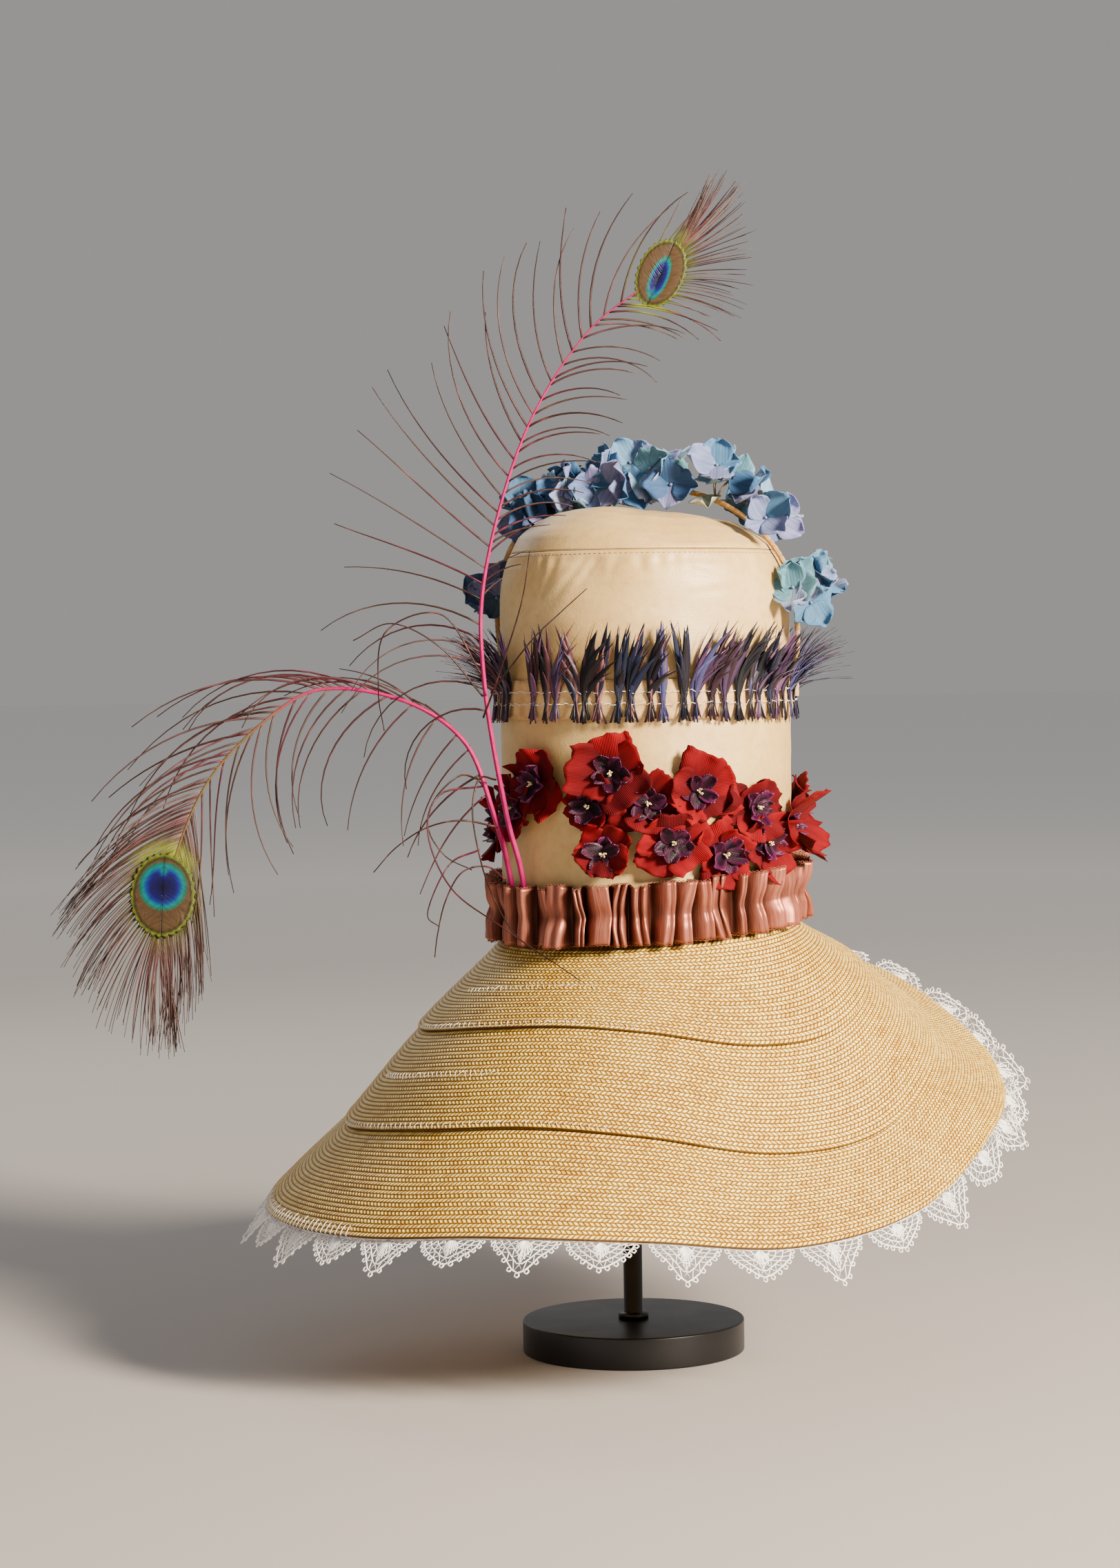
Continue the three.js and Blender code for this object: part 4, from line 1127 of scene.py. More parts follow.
@dataclass
class Brim(SubAssembly):
    """Three overlapping tiers of braid, with the hand stitches along their edges."""

    segments: int = 320
    collar_rise: float = 20.0
    collar_wall: float = 1.6
    rib: float = 0.42
    row_mm: float = StrawBraid.row_mm
    plait_mm: float = StrawBraid.plait_mm
    tiers: tuple[StrawTier, ...] = (
        StrawTier("brim_tier_top", 0.0, 0.34, 0.0, 27),
        StrawTier("brim_tier_middle", 0.31, 0.68, 3.0, 28),
        StrawTier("brim_tier_bottom", 0.65, 1.0, 3.0, 27),
    )
    rib_profile: Pairs = ((0.0, 0.0), (0.22, 0.75), (0.55, 1.0), (0.88, 0.7))
    wander: Pairs = (
        (190, 0), (222, -0.052), (245, -0.06), (264, -0.042), (284, -0.002),
        (300, 0.036), (318, 0.056), (335, 0.04), (352, 0),
    )
    seams: tuple[tuple[float, Pair, float, float], ...] = (
        (0.327, (188, 266), 4.6, 0.010),
        (0.19, (200, 252), 4.2, 0.009),
        (0.5, (192, 236), 4.2, 0.009),
        (0.667, (188, 262), 5.0, 0.010),
    )
    seam_thread: float = 0.18
    white_whip: tuple[Pair, float] = ((178, 222), 5.2)
    yellow_whip: tuple[Pair, float] = ((330, 372), 3.4)
    whip_thread: float = 0.22

    def tilt(self, azimuth: Array) -> Array:
        """Give how far the tiers' edges wander from an even ring, in shares of the brim's slant.

        Args:
            azimuth: degrees.

        Returns:
            The shift towards the rim at each azimuth.
        """
        places, shifts = zip(*self.wander)
        around = np.mod(np.asarray(azimuth, float), 360)
        return np.mean([np.interp(around + step, places, shifts) for step in (-9, -5, 0, 5, 9)], axis=0)

    def tier(self, tier: StrawTier) -> None:
        """Make one tier with a raised rib for each row of braid.

        Args:
            tier: which ring to make.
        """
        azimuth = np.linspace(0, 360, self.segments, endpoint=False)[:, None]
        phases, heights = zip(*self.rib_profile)
        row = np.repeat(np.arange(tier.rows), len(phases))
        lane = (row + np.tile(phases, tier.rows)) / tier.rows
        share = np.append(lane, 1.0)[None, :]
        raised = np.append(np.tile(heights, tier.rows), 0.2)[None, :] * self.rib
        start = tier.start + (self.tilt(azimuth) if tier.start > 0 else 0 * azimuth)
        end = tier.end + (self.tilt(azimuth) if tier.end < 1 else 0 * azimuth)
        along = start + (end - start) * share
        turn = np.radians(azimuth)
        wobble = 0.14 * np.sin(turn * 9 + share * 60) * np.sin(turn * 4 + share * 25)
        offset = -tier.tuck * (1 - share) ** 1.5
        outer = FORM.brim_skin(azimuth, along, offset + raised - self.rib + wobble)
        inside = np.linspace(1, 0, 10)[None, :]
        back = start + (end - start) * inside
        inner = FORM.brim_skin(azimuth, back, -tier.tuck * (1 - inside) ** 1.5 - FORM.straw)
        if tier.tuck == 0:
            foot = FORM.neck_height + FORM.lift(azimuth)
            top = foot + self.collar_rise
            outer = beside(FORM.on_hat(azimuth, FORM.neck_radius, top), outer)
            wall = FORM.neck_radius - self.collar_wall
            inner[:, -1:] = FORM.on_hat(azimuth, wall, foot - FORM.straw)
            inner = beside(inner, FORM.on_hat(azimuth, wall, top))
            share = np.concatenate([[[0.0]], share], axis=1)
            inside = np.concatenate([inside, [[0.0]]], axis=1)
        ring = beside(outer, inner)
        lanes = beside(share, inside) * tier.rows
        rows = np.floor(beside(share, 0.5 + 0 * inside) * tier.rows + 1e-6) / tier.rows
        along = tier.start + (tier.end - tier.start) * rows
        around = FORM.neck_radius + (FORM.rim_radius - FORM.neck_radius) * along
        plaits = np.round(2 * math.pi * around / self.plait_mm)
        turns = np.linspace(0, 1, self.segments + 1)[:, None]
        weave = joined(turns * plaits * self.plait_mm, lanes * self.row_mm)
        mesher = Mesher()
        mesher.grid(ring, weave=weave, closed_rows=True, closed_columns=True)
        mesher.build(f"{tier.node}_braid", self.finishes.straw, [tier.node], "brim_straw")

    def zigzag(self, mesher: Mesher, along: float, span: Pair, pitch: float, tall: float) -> None:
        """Lay one line of zigzag stitches on the brim.

        Args:
            mesher: where the threads go.
            along: place between neck and rim.
            span: first and last azimuth.
            pitch: length of one stitch round the brim.
            tall: width of the zigzag, in shares of the brim's slant.
        """
        radius = float(np.hypot(*(FORM.brim_chord(sum(span) / 2, along)[:2])))
        step = math.degrees(pitch / radius)
        azimuths = np.arange(span[0], span[1], step)
        rng = np.random.default_rng(int(1000 * along))
        for azimuth in azimuths:
            places = azimuth + step * np.array([0.0, 0.2, 0.4, 0.6])
            slant = rng.choice([1, 1, 1, -1]) * np.array([-1, -0.4, 0.4, 1])
            sway = along + self.tilt(places) + tall * rng.uniform(0.6, 1.2) * slant
            path = FORM.brim_skin(places, sway, np.array([-0.35, 0.3, 0.3, -0.35]))
            mesher.tube(path, self.seam_thread, 4)

    def stitches(self) -> None:
        """Sew the tiers and whip the rim."""
        white = Mesher()
        for seam in self.seams:
            self.zigzag(white, *seam)
        self.rim(white, *self.white_whip)
        white.build("brim_stitches_white", self.finishes.lace, [], "lace_cotton")
        yellow = Mesher()
        self.rim(yellow, *self.yellow_whip)
        yellow.build("brim_stitches_yellow", self.finishes.yellow, [], "lace_cotton")

    def rim(self, mesher: Mesher, span: Pair, pitch: float) -> None:
        """Whip one stretch of the rim.

        Args:
            mesher: where the threads go.
            span: first and last azimuth.
            pitch: distance between stitches.
        """
        step = math.degrees(pitch / FORM.rim_radius)
        for i, azimuth in enumerate(np.arange(span[0], span[1], step)):
            reach = 0.965 + 0.006 * math.sin(i * 2.3)
            places = azimuth + step * np.array([0, 0.1, 0.2, 0.3, 0.3])
            along = np.array([reach, reach + 0.01, 0.99, 1.001, 1.0])
            path = FORM.brim_skin(places, along, np.array([-0.3, 0.35, 0.35, 0.1, -1.9]))
            mesher.tube(path, self.whip_thread, 4)

    def build(self) -> None:
        """Make the tiers and their stitches."""
        for tier in self.tiers:
            self.tier(tier)
        self.stitches()


# Lace edging


@dataclass
class Lace(SubAssembly):
    """Crocheted scallops: a laddered heading, netted fans with a close middle, and picots."""

    scallops: int = 32
    depths: Pair = (28.0, 22.5)
    heading: float = 6.0
    seat: float = 1.2
    droop: float = 4.0
    thread: float = 0.44
    ladder: int = 13
    spread: float = 0.82
    rings: tuple[float, ...] = (0.3, 0.54, 0.77, 1.0)
    cell: float = 5.2
    flare: Point = (38.0, 42.0, 0.62)
    picot: float = 1.35
    picots: int = 13
    half_turn: float = 86.0
    close_threads: int = 9
    twist: Point = (4.0, 40.0, 0.8)
    seed: int = 5

    def sheet(self, azimuth: Array, down: Array) -> Array:
        """Place points on the lace, measured down from its heading.

        Args:
            azimuth: degrees.
            down: distance from the heading's top.

        Returns:
            Points, last axis x, y, z.
        """
        ones = np.ones_like(azimuth)
        edge = FORM.brim_skin(azimuth, ones, np.zeros_like(azimuth))
        slope = unit(edge - FORM.brim_skin(azimuth, 0.82 * ones, np.full_like(azimuth, -FORM.straw / 2)))
        normal = FORM.brim_normal(azimuth, ones)
        middle, span, lift = self.flare
        slope = unit(slope + normal * (lift * bell(apart(azimuth, middle), span))[..., None])
        past = down - self.heading
        points = edge + slope * past[..., None] - normal * (FORM.straw + self.seat)
        fall = np.maximum(past, 0) / self.depths[0]
        points[..., 2] -= self.droop * fall**2
        sector = 360 / self.scallops
        off_middle = np.radians(np.asarray(azimuth) % sector - sector / 2) * FORM.rim_radius
        middle, span, steep = self.twist
        points[..., 2] += steep * bell(apart(azimuth, middle), span) * off_middle * smooth(past, 0, 12)
        wave = np.sin(np.radians(azimuth) * self.scallops + 0.6) * fall
        return points + normal * (1.6 * wave)[..., None]

    def thread_line(self, mesher: Mesher, azimuth: Array, down: Array, radius: float) -> None:
        """Lay one thread of a radius through azimuths and distances down from the heading's top."""
        mesher.tube(self.sheet(azimuth, down), radius, 4)

    def scallop(self, mesher: Mesher, number: int, rng: Random) -> None:
        """Crochet one scallop.

        Args:
            mesher: where the threads go.
            number: which scallop.
            rng: source of small unevenness.
        """
        pointed = number % 2 == 0
        wide = 0.5 * self.spread * math.radians(360 / self.scallops) * FORM.rim_radius
        tall = (self.depths[0 if pointed else 1] - self.heading) * rng.uniform(0.94, 1.06)
        middle = (number + 0.5 + rng.uniform(-0.03, 0.03)) * 360 / self.scallops

        def place(turn: Any, share: Any) -> tuple[Array, Array]:
            """Turn places on the fan into places on the lace.

            Args:
                turn: angles from the fan's middle line.
                share: 0 at the fan's root, 1 at its edge.

            Returns:
                Azimuths and distances down from the heading's top.
            """
            turn = np.asarray(turn, float)
            peak = 0.52 + 0.48 * bell(turn, 0.5) if pointed else 0.8 + 0.2 * bell(turn, 0.4)
            across = wide * np.sin(turn) * share
            fall = tall * np.cos(turn) * peak * share
            wobble = rng.normal(0, 0.16, np.broadcast(across, fall).shape)
            azimuth = middle + np.degrees((across + wobble) / FORM.rim_radius)
            return azimuth, self.heading - 0.5 + fall + wobble

        half = math.radians(self.half_turn)
        for share in self.rings:
            turns = np.linspace(-half, half, 7 + int(10 * share))
            self.thread_line(mesher, *place(turns, share), self.thread * (1.2 if share == 1.0 else 1.0))
        for low, high in zip((0.06, *self.rings), self.rings):
            cells = max(4, int(math.pi * wide * high / self.cell))
            turns = np.linspace(-half, half, 2 * cells + 1)
            shares = np.where(np.arange(2 * cells + 1) % 2, low, high)
            self.thread_line(mesher, *place(turns, shares), self.thread * 0.9)
        for turn in np.linspace(-0.62, 0.62, self.close_threads):
            reach = 0.7 - 0.42 * abs(turn)
            self.thread_line(mesher, *place([turn, turn], np.array([0.04, reach])), self.thread * 1.25)
        loop = np.linspace(0, 2 * math.pi, 6)
        for turn in np.linspace(-half * 0.95, half * 0.95, self.picots):
            azimuth, fall = place([turn], 1.0)
            out = np.degrees((self.picot * np.cos(loop) + 1.3 * math.sin(turn)) / FORM.rim_radius)
            down = fall + 1.2 * math.cos(turn) + self.picot * np.sin(loop)
            self.thread_line(mesher, azimuth + out, down, self.thread)

    def build(self) -> None:
        """Make the whole edging."""
        rng = np.random.default_rng(self.seed)
        mesher = Mesher()
        around = np.linspace(0, 360, 361)
        for level in (0.6, 3.2, self.heading - 0.4):
            self.thread_line(mesher, around, np.full(361, level), self.thread * 1.2)
        for number in range(self.scallops):
            for step in range(self.ladder):
                azimuth = 360 * (number + (step + np.array([0.5, 0.5])) / self.ladder) / self.scallops
                self.thread_line(mesher, azimuth, np.array([0.6, self.heading - 0.4]), self.thread)
            self.scallop(mesher, number, rng)
        mesher.build("lace_crochet", self.finishes.lace, ["lace_edging"], "lace_cotton")


# Satin ruffle


@dataclass
class Ruffle(SubAssembly):
    """Gathered satin ribbon: uneven folds, a sewn middle line and picot selvedges."""

    pleats: int = 46
    samples: int = 25
    rows: int = 19
    width: float = 36.0
    foot: float = 3.0
    gap: float = 0.8
    depth: float = 11.0
    thickness: float = 0.5
    shift: float = 0.397
    calm_pleats: tuple[int, ...] = (26, 27)
    picot_pitch: float = 2.6
    picot: float = 0.8
    picot_steps: int = 5
    picot_thread: float = 0.26
    seed: int = 21

    def surface(self) -> Array:
        """Shape the ribbon.

        Returns:
            Points, pleat samples by rows by 3; the first row is the top edge.
        """
        rng = np.random.default_rng(self.seed)
        phase = np.arange(self.samples)[:, None] / self.samples
        rise = np.linspace(1, 0, self.rows)[None, :]
        edges = self.shift + np.arange(self.pleats + 1) + rng.uniform(-0.34, 0.34, self.pleats + 1)
        for calm_pleat in self.calm_pleats:
            edges[calm_pleat : calm_pleat + 2] = self.shift + np.array([calm_pleat, calm_pleat + 1])
        edges[-1] = edges[0] + self.pleats
        strips = []
        for pleat in range(self.pleats):
            calm = 0.1 if pleat in self.calm_pleats else 1.0
            lean = rng.uniform(0.0, 0.5, 2) * calm * (1 if rng.random() < 0.78 else -1)
            first, last = rng.uniform(0.28, 0.6), rng.uniform(0.68, 0.86)
            tall = rng.uniform(0.55, 1.1, 2) if calm == 1.0 else np.ones(2)
            notch = rng.uniform(-0.1, 0.5) * calm
            bow = rng.uniform(-0.26, 0.26) * calm
            crest = smooth(phase, 0.02, first) * (1 - smooth(phase, last, 0.98))
            crest = crest * (1 - notch * bell(phase - (first + last) / 2, 0.1))
            heights = tall[0] * rise + tall[1] * (1 - rise)
            slide = lean[0] * rise + lean[1] * (1 - rise) + bow * np.sin(math.pi * rise)
            pinch = 1 - 0.34 * bell(rise - 0.5, 0.16) * (0.2 + 0.8 * calm)
            radius = FORM.neck_radius + self.gap + self.depth * crest * heights * pinch
            width = edges[pleat + 1] - edges[pleat]
            azimuth = 360 * (edges[pleat] + width * phase + slide * crest) / self.pleats
            wavy = (rng.uniform(-2.4, 1.6) * rise + rng.uniform(-1.2, 1.2) * (1 - rise)) * crest
            height = FORM.neck_height + self.foot + FORM.lift(azimuth) + rise * self.width + wavy
            strips.append(FORM.on_hat(azimuth, radius, height))
        return np.concatenate(strips, axis=0)

    def picots(self, mesher: Mesher, edge: Array, up: float) -> None:
        """Add the tiny loops of one selvedge.

        Args:
            mesher: where the loops go.
            edge: points along the edge.
            up: 1 for the top edge, -1 for the bottom.
        """
        closed = np.vstack([edge, edge[:1]])
        length = distances(closed)[-1]
        count = int(length / self.picot_pitch)
        path = resampled(closed, np.linspace(0, length, count * self.picot_steps + 1))
        path[:, 2] += up * self.picot * np.abs(np.sin(np.arange(len(path)) * math.pi / self.picot_steps))
        mesher.tube(path, self.picot_thread, 3)

    def build(self) -> None:
        """Make the ribbon and its selvedges."""
        points = self.surface()
        loop = np.concatenate([points[-1:], points, points[:1]], axis=0)
        normal = unit(np.cross(np.gradient(loop, axis=0), np.gradient(loop, axis=1)))[1:-1]
        across = np.linspace(self.width, 0, self.rows)[None, :]
        step = np.linalg.norm(np.diff(loop[1:, self.rows // 2], axis=0), axis=1)
        along = np.concatenate([[0], np.cumsum(step)])[:, None]
        weave = joined(across, along)
        half = normal * self.thickness / 2
        ring = beside(points - half, (points + half)[:, ::-1])
        weaves = beside(weave, weave[:, ::-1])
        # Painted shade: the tint darkens the satin in the fold valleys, from full colour on the crests to
        # 0.12 deep in the folds.
        proud = np.hypot(ring[..., 0] - FORM.axis_x, ring[..., 1]) - FORM.neck_radius - self.gap
        light = 0.12 + 0.88 * smooth(proud, 1.0, 0.85 * self.depth)
        tint = np.stack([light, light**1.15, light**1.2, np.ones_like(light)], -1)
        mesher = Mesher()
        mesher.grid(ring, tint, weave=weaves, closed_rows=True, closed_columns=True)
        ribbon = mesher.build("ruffle_satin", self.finishes.satin, ["ruffle"], "ribbon_satin")
        edging = Mesher()
        self.picots(edging, points[:, 0], 1)
        self.picots(edging, points[:, -1], -1)
        picots = edging.build("ruffle_picots", self.finishes.satin, [], "ribbon_satin")


# Feather band


@dataclass
class FeatherBand(SubAssembly):
    """Woven tape with a row of tied hackle tufts and two rows of stitches."""

    foot: float = 400.0
    width: float = 24.0
    seat: float = 0.7
    wall: float = 1.2
    tie: float = 12.5
    tufts: int = 62
    broad: int = 9
    wisps: int = 5
    segments: int = 240
    rows: int = 10
    blade_rows: int = 9
    blade: float = 0.2
    seam_levels: tuple[float, ...] = (0.4, 0.7)
    seam_stitches: int = 110
    seam_thread: float = 0.17
    clear: Pairs = ((218.4, 2.6), (210.5, 2.6), (352.0, 2.6), (158.0, 2.6))
    seed: int = 33
    dyes: tuple[str, ...] = (
        "#08080F", "#0B1128", "#160910", "#240F18", "#38223E",
        "#5A3A58", "#6E4448", "#3C3A62", "#0E0812", "#1E0E18",
    )

    def tape(self) -> None:
        """Make the tape."""
        azimuth = np.linspace(0, 360, self.segments, endpoint=False)[:, None]
        rise = np.linspace(0, self.width, self.rows)[None, :]
        inner = FORM.crown_radius + self.seat
        puff = 0.35 * np.sin(np.radians(azimuth) * 31) * np.sin(rise / self.width * math.pi)
        ragged = 0.5 * np.sin(np.radians(azimuth) * 57) * (rise / self.width - 0.5)
        outer = FORM.on_hat(azimuth, inner + self.wall + puff, self.foot + rise + ragged)
        back = FORM.on_hat(azimuth, inner + 0 * rise, self.foot + rise + ragged)
        turns = np.linspace(0, 2 * math.pi, self.segments + 1)[:, None]
        weave = joined(turns * FORM.crown_radius, rise)
        mesher = Mesher()
        ring = beside(outer, back[:, ::-1])
        weaves = beside(weave, weave[:, ::-1])
        mesher.grid(ring, weave=weaves, closed_rows=True, closed_columns=True)
        mesher.build("feather_band_tape", self.finishes.tape, [], "band_feather")

    def hackle(
        self, mesher: Mesher, azimuth: float, rng: Random, dye: str, flow: Pair, wide: float
    ) -> None:
        """Add one hackle blade of a tuft.

        Args:
            mesher: where it goes.
            azimuth: the tuft's place.
            rng: source of variety.
            dye: its colour.
            flow: sideways sweep and outward flare of the tuft's tip.
            wide: the blade's full width.
        """
        share = np.linspace(0, 1, self.blade_rows)
        low = rng.uniform(-2.5, 2.0)
        top = rng.uniform(42, 61) if rng.random() < 0.75 else rng.uniform(30, 42)
        rise = low + (top - low) * share
        above = np.clip((rise - self.tie) / (top - self.tie), 0, 1)
        below = np.clip((self.tie - rise) / self.tie, 0, 1.3)
        fan = rng.normal(0, 3.9)
        curve = rng.uniform(1.5, 2.6)
        side = rng.normal(0, 0.7) + fan * 0.8 * above + flow[0] * rng.uniform(0.7, 1.25) * above**curve
        side = side + rng.normal(0, 1.9) * below
        flare = flow[1] * rng.uniform(0.5, 1.2)
        base = FORM.crown_radius + self.seat + self.wall + 0.5 + rng.uniform(0, 1.4)
        radius = base + flare * above**2 + 1.6 * below
        drop = 0.22 * flare * above**3
        body = np.sin(math.pi * np.clip(0.05 + 0.94 * above, 0, 1) ** 0.75) ** 0.9
        half = np.maximum(0.5 * wide * body * np.where(above > 0, 1, 0), 0.22 + 0.5 * below)
        half[-1] = 0.06
        twist = rng.uniform(-0.9, 0.9)
        middle = azimuth + np.degrees(side / (radius + 2))
        spread = np.degrees(half * math.cos(twist) / (radius + 2))
        tilt = half * math.sin(twist) * 0.8
        height = self.foot + rise - drop
        left = FORM.on_hat(middle - spread, radius - tilt * 0.5 + 0.3, height)
        centre = FORM.on_hat(middle, radius + 0.14 * half + 0.3, height)
        right = FORM.on_hat(middle + spread, radius + tilt * 0.5 + 0.3, height)
        points = np.stack([left, centre, right], 1)
        root = rgba(dye) * rng.uniform(0.75, 1.3)
        tip = root * rng.uniform(0.7, 1.5)
        tint = root * (1 - share[:, None]) + tip * share[:, None]
        tint[:, 3] = 1
        weave = joined((rise - low)[:, None], np.array([[-1.0, 0.0, 1.0]]) * half[:, None])
        mesher.sheet(points, self.blade, np.repeat(tint[:, None], 3, 1), weave)

    def stitches(self) -> None:
        """Sew the tufts to the tape with two rows of loose white stitches."""
        mesher = Mesher()
        rng = np.random.default_rng(self.seed + 1)
        surface = FORM.crown_radius + self.seat + self.wall
        for level in self.seam_levels:
            for i in range(self.seam_stitches):
                azimuth = 360 * (i + np.array([0.0, 0.35, 0.75, 1.1])) / self.seam_stitches
                height = self.foot + level * self.width + rng.normal(0, 0.7, 4)
                path = FORM.on_hat(azimuth, surface + np.array([0.3, 2.4, 2.4, 0.3]), height)
                mesher.tube(path, self.seam_thread, 4)
        mesher.build("feather_band_stitches", self.finishes.lace, [], "lace_cotton")

    def build(self) -> None:
        """Make the tape, tufts and stitches."""
        self.tape()
        rng = np.random.default_rng(self.seed)
        mesher = Mesher()
        for i in range(self.tufts):
            azimuth = 360 * (i + 0.5) / self.tufts + rng.uniform(-1.5, 1.5)
            dyes = [self.dyes[int(k)] for k in rng.integers(len(self.dyes), size=3)]
            profile = abs(math.cos(math.radians(azimuth))) ** 6
            sweep = rng.uniform(5, 19) if rng.random() < 0.72 else rng.uniform(-13, 2)
            flow = (sweep, rng.uniform(4, 13) + 22 * profile)
            if all(abs(apart(azimuth, place)) > near for place, near in self.clear):
                for k in range(self.broad + self.wisps):
                    dye = dyes[int(rng.choice(3, p=(0.6, 0.25, 0.15)))]
                    wide = rng.uniform(3.8, 7.4) if k < self.broad else rng.uniform(0.6, 1.2)
                    self.hackle(mesher, azimuth, rng, dye, flow, wide)
        mesher.build("feather_band_tufts", self.finishes.tuft, ["feather_band"], "band_feather")
        self.stitches()


# Red flowers


@dataclass(frozen=True)
class Bloom:
    """Place and size of one flower on the crown."""

    azimuth: float
    height: float
    radius: float
    cup: float
    turn: float


@dataclass
class Flowers(SubAssembly):
    """Red cloth flowers with velvet hearts and thread stamens."""

    blooms: tuple[Bloom, ...] = (
        Bloom(211, 346, 19, 8, 10), Bloom(223, 361, 20, 8, 40), Bloom(247, 348, 20, 8, 5),
        Bloom(256, 368, 23, 10, 28), Bloom(269, 349, 21, 9, 50), Bloom(288, 356, 22, 10, 15),
        Bloom(312, 345, 21, 10, 33), Bloom(278, 325, 21, 10, 20), Bloom(298, 317, 20, 9, 44),
        Bloom(318, 323, 19, 10, 12), Bloom(253, 319, 17, 12, 60), Bloom(338, 332, 23, 20, 24),
        Bloom(10, 345, 21, 9, 36), Bloom(42, 330, 21, 9, 8), Bloom(78, 346, 21, 9, 52),
        Bloom(112, 331, 21, 9, 18), Bloom(148, 345, 21, 9, 30), Bloom(182, 333, 20, 8, 48),
    )
    petals: int = 5
    lobes: int = 5
    stamens: int = 11
    grid: tuple[int, int] = (12, 11)
    levels: tuple[float, ...] = (0.0, 3.2, 1.6)
    cloth: float = 0.5
    velvet: float = 0.7
    seat: float = 1.2
    seed: int = 47

    def petal(
        self,
        bloom: Bloom,
        rng: Random,
        angle: float,
        size: Pair,
        rise: Pair,
        blunt: bool,
    ) -> tuple[Array, Array]:
        """Shape one petal on the crown.

        Args:
            bloom: the flower it belongs to.
            rng: source of variety.
            angle: its direction, in degrees.
            size: its length and half width.
            rise: its lift at the middle of the flower and at its tip.
            blunt: true for a cut cloth petal with a frayed square end, false for a rounded spoon.

        Returns:
            Grid points and weave coordinates.
        """
        length, half = size
        rows, columns = self.grid
        share = np.linspace(0.04, 1, rows)[:, None]
        side = np.linspace(-1, 1, columns)[None, :]
        phase = rng.uniform(0, 2 * math.pi, 2)
        if blunt:
            fray = 1 + 0.018 * rng.normal(size=(1, columns)) * share**4
            fray = fray - rng.uniform(-0.04, 0.14) * side**2 * share
            fray = fray + rng.uniform(-0.14, 0.14) * side * share
            wide = half * (0.25 + 0.75 * smooth(share, 0, 0.5)) * (1 - 0.16 * smooth(share, 0.8, 1))
            wide = wide * (1 + 0.015 * rng.normal(size=(rows, 1)))
            wave = 1.9 * share**1.6 * np.sin(side * 3.4 + phase[0])
            wave = wave + 1.4 * share**2 * np.sin(side * 6 + phase[1])
            curl = rng.uniform(-4.5, 6.5) * share**2 * np.abs(side) ** 3
            curl = curl + rng.uniform(-4, 4) * smooth(share, 0.6, 1) * smooth(side, 0.2, 1)
        else:
            fray = 1 - 0.1 * side**2 * share
            wide = half * np.sin(math.pi * np.clip(0.1 + 0.78 * share, 0, 1)) ** 0.65
            wave = 0.5 * share * np.sin(side * 5 + phase[0])
            curl = 6.0 * side**2 * share - 2.5 * share * (1 - side**2)
        along = length * share * fray
        across = wide * side
        lift = rise[0] + (rise[1] - rise[0]) * share**1.25 + (wave + curl) * length / 20
        turn = math.radians(angle)
        s = along * math.cos(turn) - across * math.sin(turn)
        t = along * math.sin(turn) + across * math.cos(turn)
        azimuth = bloom.azimuth + np.degrees(s / FORM.crown_radius)
        points = FORM.on_hat(azimuth, FORM.crown_radius + np.maximum(lift, 0.7), bloom.height + t)
        return points, joined(along, across)

    def corolla(self, bloom: Bloom, number: int, level: float) -> None:
        """Make the red petals of one flower.

        Args:
            bloom: the flower.
            number: its number, from 1.
            level: extra height that lays it over its neighbours.
        """
        rng = np.random.default_rng(self.seed + number)
        rows, columns = self.grid
        mesher = Mesher()
        for petal in range(self.petals):
            angle = bloom.turn + 360 * petal / self.petals + rng.uniform(-9, 9)
            length = bloom.radius * rng.uniform(0.74, 1.14)
            tip = bloom.cup * rng.uniform(0.5, 1.35) + level
            size = (length, length * rng.uniform(0.5, 0.74))
            lift = (self.seat + level * 0.5 + 0.3 * petal, tip)
            points, weave = self.petal(bloom, rng, angle, size, lift, True)
            depth = np.linspace(0, 1, rows)[:, None]
            red = mixed("#440006", "#84000C", rng.uniform(0.1, 1.0))
            dark = mixed("#260004", "#4C0208", rng.uniform(0, 1))
            tint = (dark * (1 - depth) + red * depth)[:, None] * np.ones((1, columns, 1))
            tint[-1] *= 0.8
            tint[..., 3] = 1
            mesher.sheet(points, self.cloth, tint, weave)
        name = f"flower_{number:02d}"
        mesher.build(f"{name}_petals", self.finishes.cloth, [f"{name}_corolla"], "flower_cloth")

    def heart(self, bloom: Bloom, number: int, level: float) -> None:
        """Make the velvet heart and stamens of one flower.

        Args:
            bloom: the flower.
            number: its number, from 1.
            level: extra height that lays it over its neighbours.
        """
        rng = np.random.default_rng(self.seed * 3 + number)
        rows, columns = self.grid
        mesher = Mesher()
        base = self.seat + 2.2 + level * 0.6
        for lobe in range(self.lobes):
            angle = bloom.turn + 30 + 360 * lobe / self.lobes + rng.uniform(-12, 12)
            length = rng.uniform(10.0, 12.5)
            rise = (base + 0.2 * lobe, base + rng.uniform(2.0, 7.5))
            size = (length, length * rng.uniform(0.38, 0.46))
            points, weave = self.petal(bloom, rng, angle, size, rise, False)
            # The velvet's lilac edge, partly painted sheen: each lobe is dark in the middle and lighter
            # towards its rim and tip.
            reach = np.maximum(np.linspace(0, 1, rows)[:, None], np.abs(np.linspace(-1, 1, columns))[None, :])
            rim = smooth(reach, 0.55, 1.0)[..., None]
            edge = mixed("#34061F", "#66204E", rng.uniform(0.1, 1.0))
            tint = mixed("#12020B", "#2A061B", rng.uniform(0, 1)) * (1 - rim) + edge * rim
            tint[..., 3] = 1
            mesher.sheet(points, self.velvet, tint, weave)
        name = f"flower_{number:02d}"
        mesher.build(f"{name}_velvet", self.finishes.velvet, [f"{name}_heart"], "flower_velvet")
        stamens = Mesher()
        for _ in range(self.stamens):
            tilt, turn = rng.uniform(0.05, 0.4), rng.uniform(0, 2 * math.pi)
            share = np.linspace(0, 1, 5)
            s = 5.5 * tilt * share * math.cos(turn)
            t = 5.5 * tilt * share * math.sin(turn)
            lift = base + 0.4 + rng.uniform(3.0, 5.5) * share
